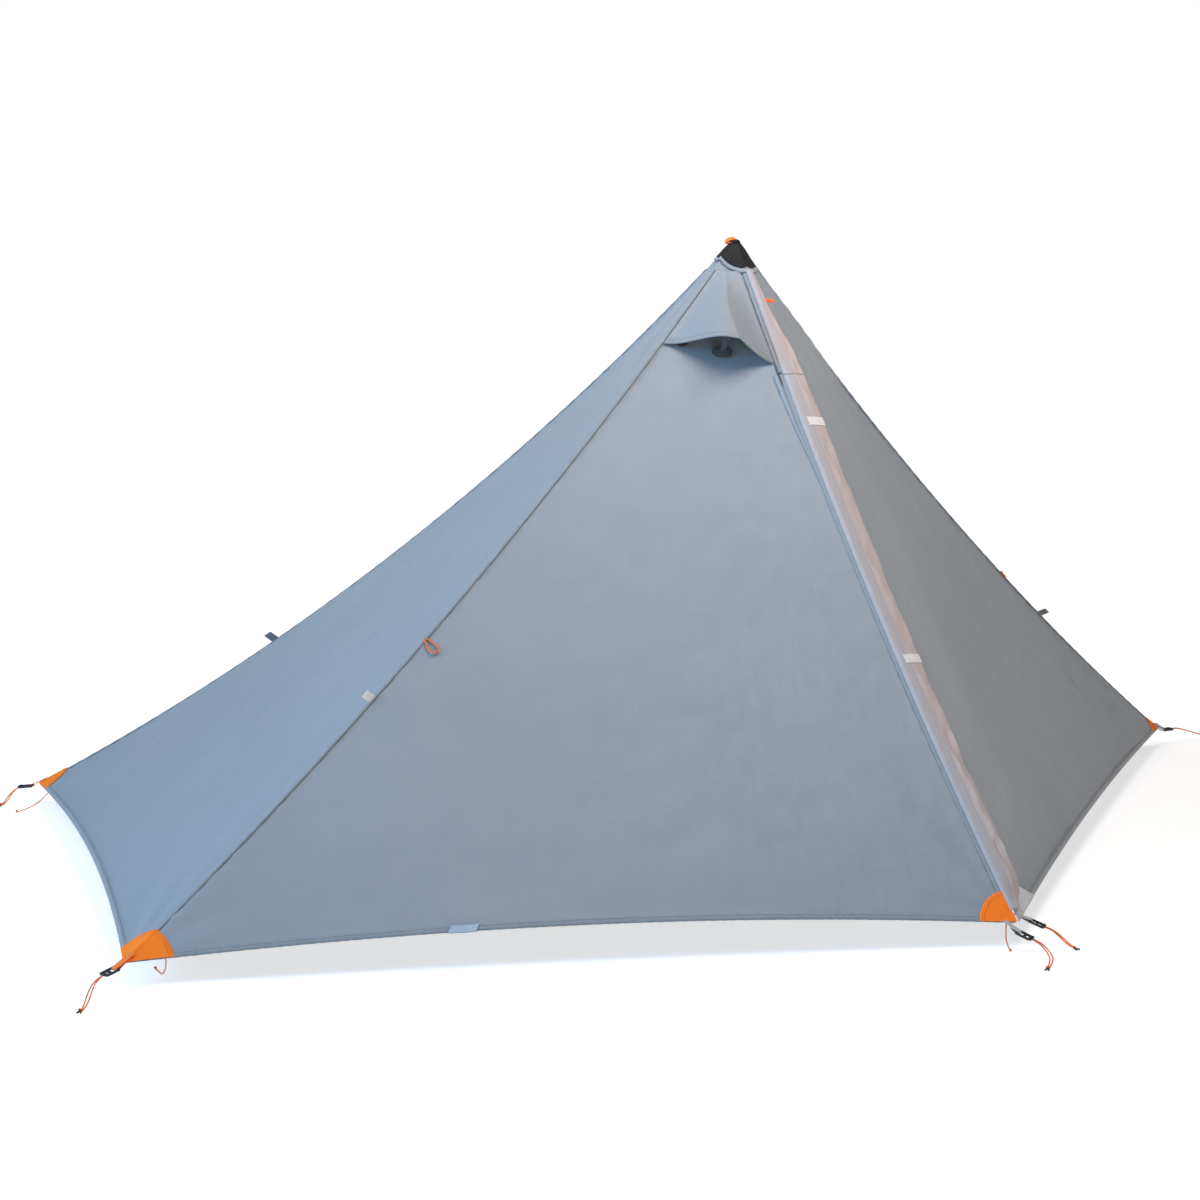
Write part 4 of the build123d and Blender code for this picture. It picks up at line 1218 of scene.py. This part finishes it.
def make_strut():
    """A semi-stiff strap from the brim, narrow at the pad that it stands on."""
    pivot, along, up, normal = strut_place()

    def place(v, u):
        x = lerp(STRUT_TOP_HALF, STRUT_FOOT_HALF, smooth(v * 1.15)) * (2 * u - 1)
        rise = PAD_SHIFT[1] * v + 0.0012 * math.sin(v * math.pi)
        lean = along * lerp(STRUT_SHIFT, PAD_SHIFT[0], v) + up * rise
        curl = up * (0.0008 * (2 * u - 1) ** 2)
        return pivot - normal * (STRUT_LONG * v) + along * x + lean - curl, (x + 0.01, v * 0.05)

    def roll(v, u):
        a = u * 2 * math.pi
        wound = (up * math.cos(a) + normal * math.sin(a)) * 0.0021
        return pivot + along * (0.024 * v + 0.014) + wound, (u * 0.013, v * 0.024)

    pad_shift = along * PAD_SHIFT[0] + up * PAD_SHIFT[1]
    strap = thicken(grid("strut_strap", 30, 8, place, "strap_net"), 0.0012)
    foot = pad("strut_foot", pivot - normal * 0.0474 + pad_shift, along, up, normal, 0.017, 0.010, 0.002)
    rolled = grid("strut_roll", 16, 20, roll, "dark_webbing", wrap=True)
    settle(join("vent_strut_strap", strap, foot, rolled), "strut", "black_plastic", "vent_strut")
    wall_pad = pad("wall_pad", pivot - normal * 0.0512 + pad_shift, along, up, normal, 0.0215, 0.0135, 0.0019)
    side_pad = pad("side_pad", FRONT.point(0.154, 0.205, 0.001), along, up, normal, 0.0125, 0.0075, 0.0018)
    settle(join("vent_pads_tape", wall_pad, side_pad), "canopy", "black_hook_tape", "vent_pads")


# ---- Corner patches, straps and tensioners ----
PATCH_RADII = {"a": 0.092, "c": 0.062, "d": 0.080, "b": 0.074}
STRAP_HALF, STRAP_TURN, STRAP_THICK = 7.7 * MM, 3.3 * MM, 1.1 * MM


def patch_point(name, wall, r, a, height):
    """On a wall near a corner: r from the corner, a from the ridge (0) to the hem (1)."""
    ridge = RIDGES[name]
    on_ridge = ridge.at(1 - r / ridge.length)
    share = r / wall.hem_length()
    on_hem = wall.hem_point(share if wall.left is ridge else 1 - share)
    ends = [(end - ridge.corner).normalized() for end in (on_ridge, on_hem)]
    way = lerp(*ends, a).normalized()
    return ridge.corner + way * r + wall.normal(1 - 0.5 * r / ridge.length) * height


def make_patches():
    """Quarter rounds of stout cloth over the corners. The one at b is on the door's side alone."""
    for name, radius in PATCH_RADII.items():
        left, right = WALL_LEFT_OF[name], WALL_RIGHT_OF[name]
        one_sided = name == "b"

        def place(v, u):
            r = lerp(0.003, radius, v)
            x = 2 * u - 1
            height = 0.0032 + 0.0005 * noise.noise(Vector((u * 5, v * 5, radius * 90)))
            height -= 0.0014 * smooth((v - 0.93) / 0.07)
            if one_sided:
                wall, a = left, lerp(0.06, 1.0, u)
            else:
                wall, a = (left, -x) if x < 0 else (right, x)
                height += 0.0010 * math.exp(-((x / 0.05) ** 2))
            return patch_point(name, wall, r, a, height), (radius - r, u * radius * 1.8)

        made = grid(f"corner_patch_{name}_cloth", 16, 36, place, "orange_cloth")
        thicken(made, 0.0008, round_edge=0.0002)
        settle(made, "door" if one_sided else "canopy", "orange_cloth")
    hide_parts("corner_patches")
    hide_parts("door_corner_patch")


def make_strap(name, colour):
    """Webbing off the corner, round the tensioner's bar and back on itself."""
    line = LINES[name]
    at = line_frame(line, line["slope"])
    back = line["back"]
    turn = [(-back, 0.0004), (-0.55 * back, 0.0010), (-0.008, 0.0022)]
    for k in range(9):
        a = math.radians(125 - k * 250 / 8)
        turn.append((STRAP_TURN * math.cos(a), STRAP_TURN * math.sin(a)))
    turn += [(-0.008, -0.0021), (-0.5 * back, -0.0011)]
    points = [at @ Vector((x, 0, z)) for x, z in turn]
    across = (at.to_3x3() @ Vector((0, 1, 0))) * STRAP_HALF
    return ribbon(f"strap_{name}_web", points, across, STRAP_THICK, colour + "_webbing", 6)


def make_straps():
    for colour, names in (("orange", ("a", "d")), ("grey", ("b_wall", "c"))):
        straps = [make_strap(name, colour) for name in names]
        settle(join(f"{colour}_straps_web", *straps), "canopy", f"{colour}_webbing", f"{colour}_straps")
    settle(make_strap("b_door", "grey"), "door", "grey_webbing", "door_strap")


def make_corner_webs():
    """Two pale layers on the right wall's front corner. The outer one runs further along the hem."""
    length = RIGHT.hem_length()
    for low, high, further, nodes in ((0.004, 0.058, 0.0, ["right_corner_web"]), (0.0575, 0.088, 0.110, [])):
        def place(v, u):
            r = lerp(low, high + further * u, v)
            s = lerp(1 - r / RIGHT.left.length, RIGHT.hem_share(r / length), u)
            point = RIGHT.point(s, lerp(0.001, r / length, u), 0.0030 + 0.0002 * math.sin(u * 9))
            return point, (u * 0.05, v * 0.05)

        made = grid(f"right_corner_web_{len(nodes)}", 12, 14, place, "web_cloth")
        settle(thicken(made, 0.0009), "canopy", "grey_webbing", *nodes)


def cell_block(name, xs, ys, holes, low, high):
    """A plastic plate cut on a grid of cells, with some cells left open, as one closed surface."""
    made = bmesh.new()
    corners = {}

    def corner(i, j, k):
        key = (i, j, k)
        if key not in corners:
            corners[key] = made.verts.new((xs[i], ys[j], (low, high)[k]))
        return corners[key]

    cells = {(i, j) for i in range(len(xs) - 1) for j in range(len(ys) - 1)} - set(holes)
    for i, j in cells:
        made.faces.new([corner(i, j, 1), corner(i + 1, j, 1), corner(i + 1, j + 1, 1), corner(i, j + 1, 1)])
        made.faces.new([corner(i, j + 1, 0), corner(i + 1, j + 1, 0), corner(i + 1, j, 0), corner(i, j, 0)])
        sides = (((i, j - 1), (i, j), (i + 1, j)), ((i + 1, j), (i + 1, j), (i + 1, j + 1)),
                 ((i, j + 1), (i + 1, j + 1), (i, j + 1)), ((i - 1, j), (i, j + 1), (i, j)))
        for beside, p, q in sides:
            if beside not in cells:
                made.faces.new([corner(*p, 0), corner(*q, 0), corner(*q, 1), corner(*p, 1)])
    mesh = bpy.data.meshes.new(name)
    made.to_mesh(mesh)
    made.free()
    return link(mesh, name, "black_plastic")


# A tensioner's edges along its pull and across it. Its rails and bars are what the holes leave.
TENSIONER_X = [x * MM for x in (-2.6, 2.4, 12, 16.5, 23.5, 27, 31)]
TENSIONER_Y = [y * MM for y in (-11.5, -8, -3, 3, 8, 11.5)]
TENSIONER_HOLES = [(i, j) for i in (0, 1, 3) for j in (1, 2, 3)]
TENSIONER_HALF = 2.3 * MM
RAIL_INSIDE = 9 * MM
NOSE_START, NOSE_LIFT, NOSE_SETBACK = 26 * MM, 1.2 * MM, 3.5 * MM
BAR_RADIUS = 2.2 * MM


def softened(made, width, segments=1):
    """Rounds the edges of a moulded piece."""
    bevel = made.modifiers.new("edges", "BEVEL")
    bevel.width = width
    bevel.segments = segments
    return apply(made)


def shape_tensioner(frame_mesh):
    """Lifts the nose, sets its corners back and sinks the cord bar."""
    for vertex in frame_mesh.vertices:
        co = vertex.co
        inside = abs(co.y) < RAIL_INSIDE
        if co.x > NOSE_START:
            co.z += NOSE_LIFT * (co.x - NOSE_START) / (5 * MM)
        if co.x > 30 * MM and not inside:
            co.x -= NOSE_SETBACK
        if co.z > 0 and inside and 11 * MM < co.x < 17 * MM:
            co.z -= 0.8 * MM


def strap_bar(v, u):
    """The round bar that the strap turns on, between the rails."""
    a = u * 2 * math.pi
    y = lerp(-RAIL_INSIDE, RAIL_INSIDE, v)
    return Vector((BAR_RADIUS * math.cos(a), y, BAR_RADIUS * math.sin(a))), (u * 0.014, v * 0.02)


def make_tensioners():
    """Ladder-lock cord tensioners: two rails, a round strap bar, a cord bar and a ribbed, lifted nose."""
    for name, line in LINES.items():
        body = cell_block(f"tensioner_{name}_frame", TENSIONER_X, TENSIONER_Y, TENSIONER_HOLES,
                          -TENSIONER_HALF, TENSIONER_HALF)
        shape_tensioner(body.data)
        bar = grid(f"tensioner_{name}_bar", 4, 20, strap_bar, "black_plastic", wrap=True)
        ribs = []
        for k in range(3):
            xs = [(start + 1.2 * k) * MM for start in (27.4, 28.0)]
            ys = [-6.5 * MM, 6.5 * MM]
            rib = cell_block(f"rib_{name}_{k}", xs, ys, [], 2.2 * MM, (3.2 + 0.25 * k) * MM)
            ribs.append(softened(rib, 0.2 * MM))
        made = join(f"tensioner_{name}_buckle", softened(body, 0.9 * MM, 3), bar, *ribs)
        made.data.transform(line_frame(line, line["dip"]))
        made.data.polygons.foreach_set("use_smooth", [True] * len(made.data.polygons))
        made.data.set_sharp_from_angle(angle=math.radians(40))
        settle(made, f"line_{name}", "black_plastic", f"tensioner_{name}")


# ---- Ridge tabs and the hem's label ----
# One side of a folded tab in section: across it, and out from the ridge.
TAB_SHAPE = [(-0.0012, 0.0012), (-0.0011, 0.012), (-0.0008, 0.021)]
TAB_LEAN = {"a": 0.35, "c": 0.9, "d": 0.35}  # how far each leans down its ridge, for 1 outward
LABEL_AT, LABEL_LONG, LABEL_HIGH = 0.36, 0.054, 0.018


def make_ridge_tabs():
    """Folded webbing tabs that stand out of the ridges."""
    made = []
    shape = TAB_SHAPE + [(0.0, 0.0238)] + [(-x, z) for x, z in TAB_SHAPE[::-1]]
    for name, lean in TAB_LEAN.items():
        ridge = RIDGES[name]
        s = TAB_DISTANCE / ridge.length
        along = ridge.tangent(s)
        side = ridge.out.cross(along)
        up = ridge.out + along * lean
        points = [ridge.at(s) + side * x + up * z * 0.94 for x, z in shape]
        # The tab on a is pale webbing. Those on c and d are the same tabs in dark webbing: painted shade, as
        # they stand in shade round the back.
        material = "pale_webbing" if name == "a" else "dark_webbing"
        made.append(ribbon(f"ridge_tab_{name}", points, along * 0.009, 0.0009, material, 6))
    settle(join("ridge_tabs_web", *made), "canopy", "pale_webbing", "ridge_tabs")


def make_label():
    """A plain woven tab over the hem."""
    def place(v, u):
        t = LABEL_AT + (u - 0.5) * LABEL_LONG / FRONT.hem_length()
        lift = lerp(-0.004, LABEL_HIGH - 0.004, v)
        s = FRONT.hem_share(t) - lift / FRONT.fall
        return FRONT.point(s, t, 0.0023 + 0.0003 * math.sin(u * 7)), (v * LABEL_HIGH, u * LABEL_LONG)

    made = grid("hem_label_tab", 8, 24, place, "label_cloth")
    settle(thicken(made, 0.0006), "door", "label_cloth", "hem_label")


# ---- CAD nodes that keep their shape ----
KEPT = {
    "pole_cup": "black_plastic", "pole_upper_tube": "pole_metal", "pole_lower_tube": "pole_metal",
    "pole_top_plug": "black_plastic", "pole_bush": "black_plastic", "pole_foot": "foot_rubber",
    "clamp_collar": "black_plastic", "clamp_lever": "black_plastic", "clamp_pin": "pin_steel",
    "strut_keeper": "black_plastic", "zip_slider_top": "zip_metal", "zip_slider_low": "zip_metal",
}


def finish_kept_nodes():
    for node, material in KEPT.items():
        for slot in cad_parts[node].material_slots:
            slot.material = MATERIALS[material]


# ---- Studio ----
AMBIENT = 0.06
FLOOR_HALF, FLOOR_Z = 30, -0.0004
LIGHTS_AIM = (-0.1, -0.1, 0.45)
# Each light's place, its size, its power in watts and its colour.
LIGHTS = {
    "front_softbox": ((0.0, -1.7, 4.7), (1.8, 1.8), 98, (1.0, 0.95, 0.955)),
    "overhead": ((0.42, -0.5, 2.45), (0.8, 0.8), 15, (1.0, 0.90, 0.86)),
    "left_sky": ((-6.5, -1.6, 3.4), (4.0, 3.0), 510, (0.21, 0.58, 1.0)),
    "upper_left": ((-3.6, 0.4, 6.0), (4.0, 4.0), 120, (1.0, 0.85, 0.60)),
}


def area_light(name, place, aim, size, power, colour):
    data = bpy.data.lights.new(name, "AREA")
    data.shape = "RECTANGLE"
    data.size, data.size_y = size
    data.energy = power
    data.color = colour
    made = bpy.data.objects.new(name, data)
    made.location = place
    made.rotation_euler = (Vector(aim) - Vector(place)).to_track_quat("-Z", "Y").to_euler()
    bpy.context.scene.collection.objects.link(made)


def make_studio():
    """A floor, a white world, and soft lights from the left and front."""
    def level(v, u):
        return Vector(((2 * u - 1) * FLOOR_HALF, (1 - 2 * v) * FLOOR_HALF, FLOOR_Z)), (u, v)

    floor = grid("studio_floor", 1, 1, level, "studio_floor")
    world = bpy.data.worlds.new("studio")
    bpy.context.scene.world = world
    world.use_nodes = True
    tree = world.node_tree
    path = tree.nodes.new("ShaderNodeLightPath")
    strength = tree.nodes.new("ShaderNodeMapRange")
    strength.inputs["To Min"].default_value = AMBIENT
    tree.links.new(path.outputs["Is Camera Ray"], strength.inputs["Value"])
    tree.links.new(strength.outputs[0], tree.nodes["Background"].inputs["Strength"])
    tree.nodes["Background"].inputs["Color"].default_value = (1, 1, 1, 1)
    for name, (place, size, power, colour) in LIGHTS.items():
        area_light(name, place, LIGHTS_AIM, size, power, colour)
    scene = bpy.context.scene
    scene.view_settings.view_transform = "Standard"
    scene.view_settings.look = "None"


MATERIALS = make_materials()
make_camera()
make_cords()
make_walls()
make_seams()
make_flap()
make_flap_tabs()
make_pulls()
make_zip_coils()
make_cap()
make_peak_loop()
make_hood()
make_window()
make_strut()
make_patches()
make_straps()
make_corner_webs()
make_tensioners()
make_ridge_tabs()
make_label()
finish_kept_nodes()
make_studio()
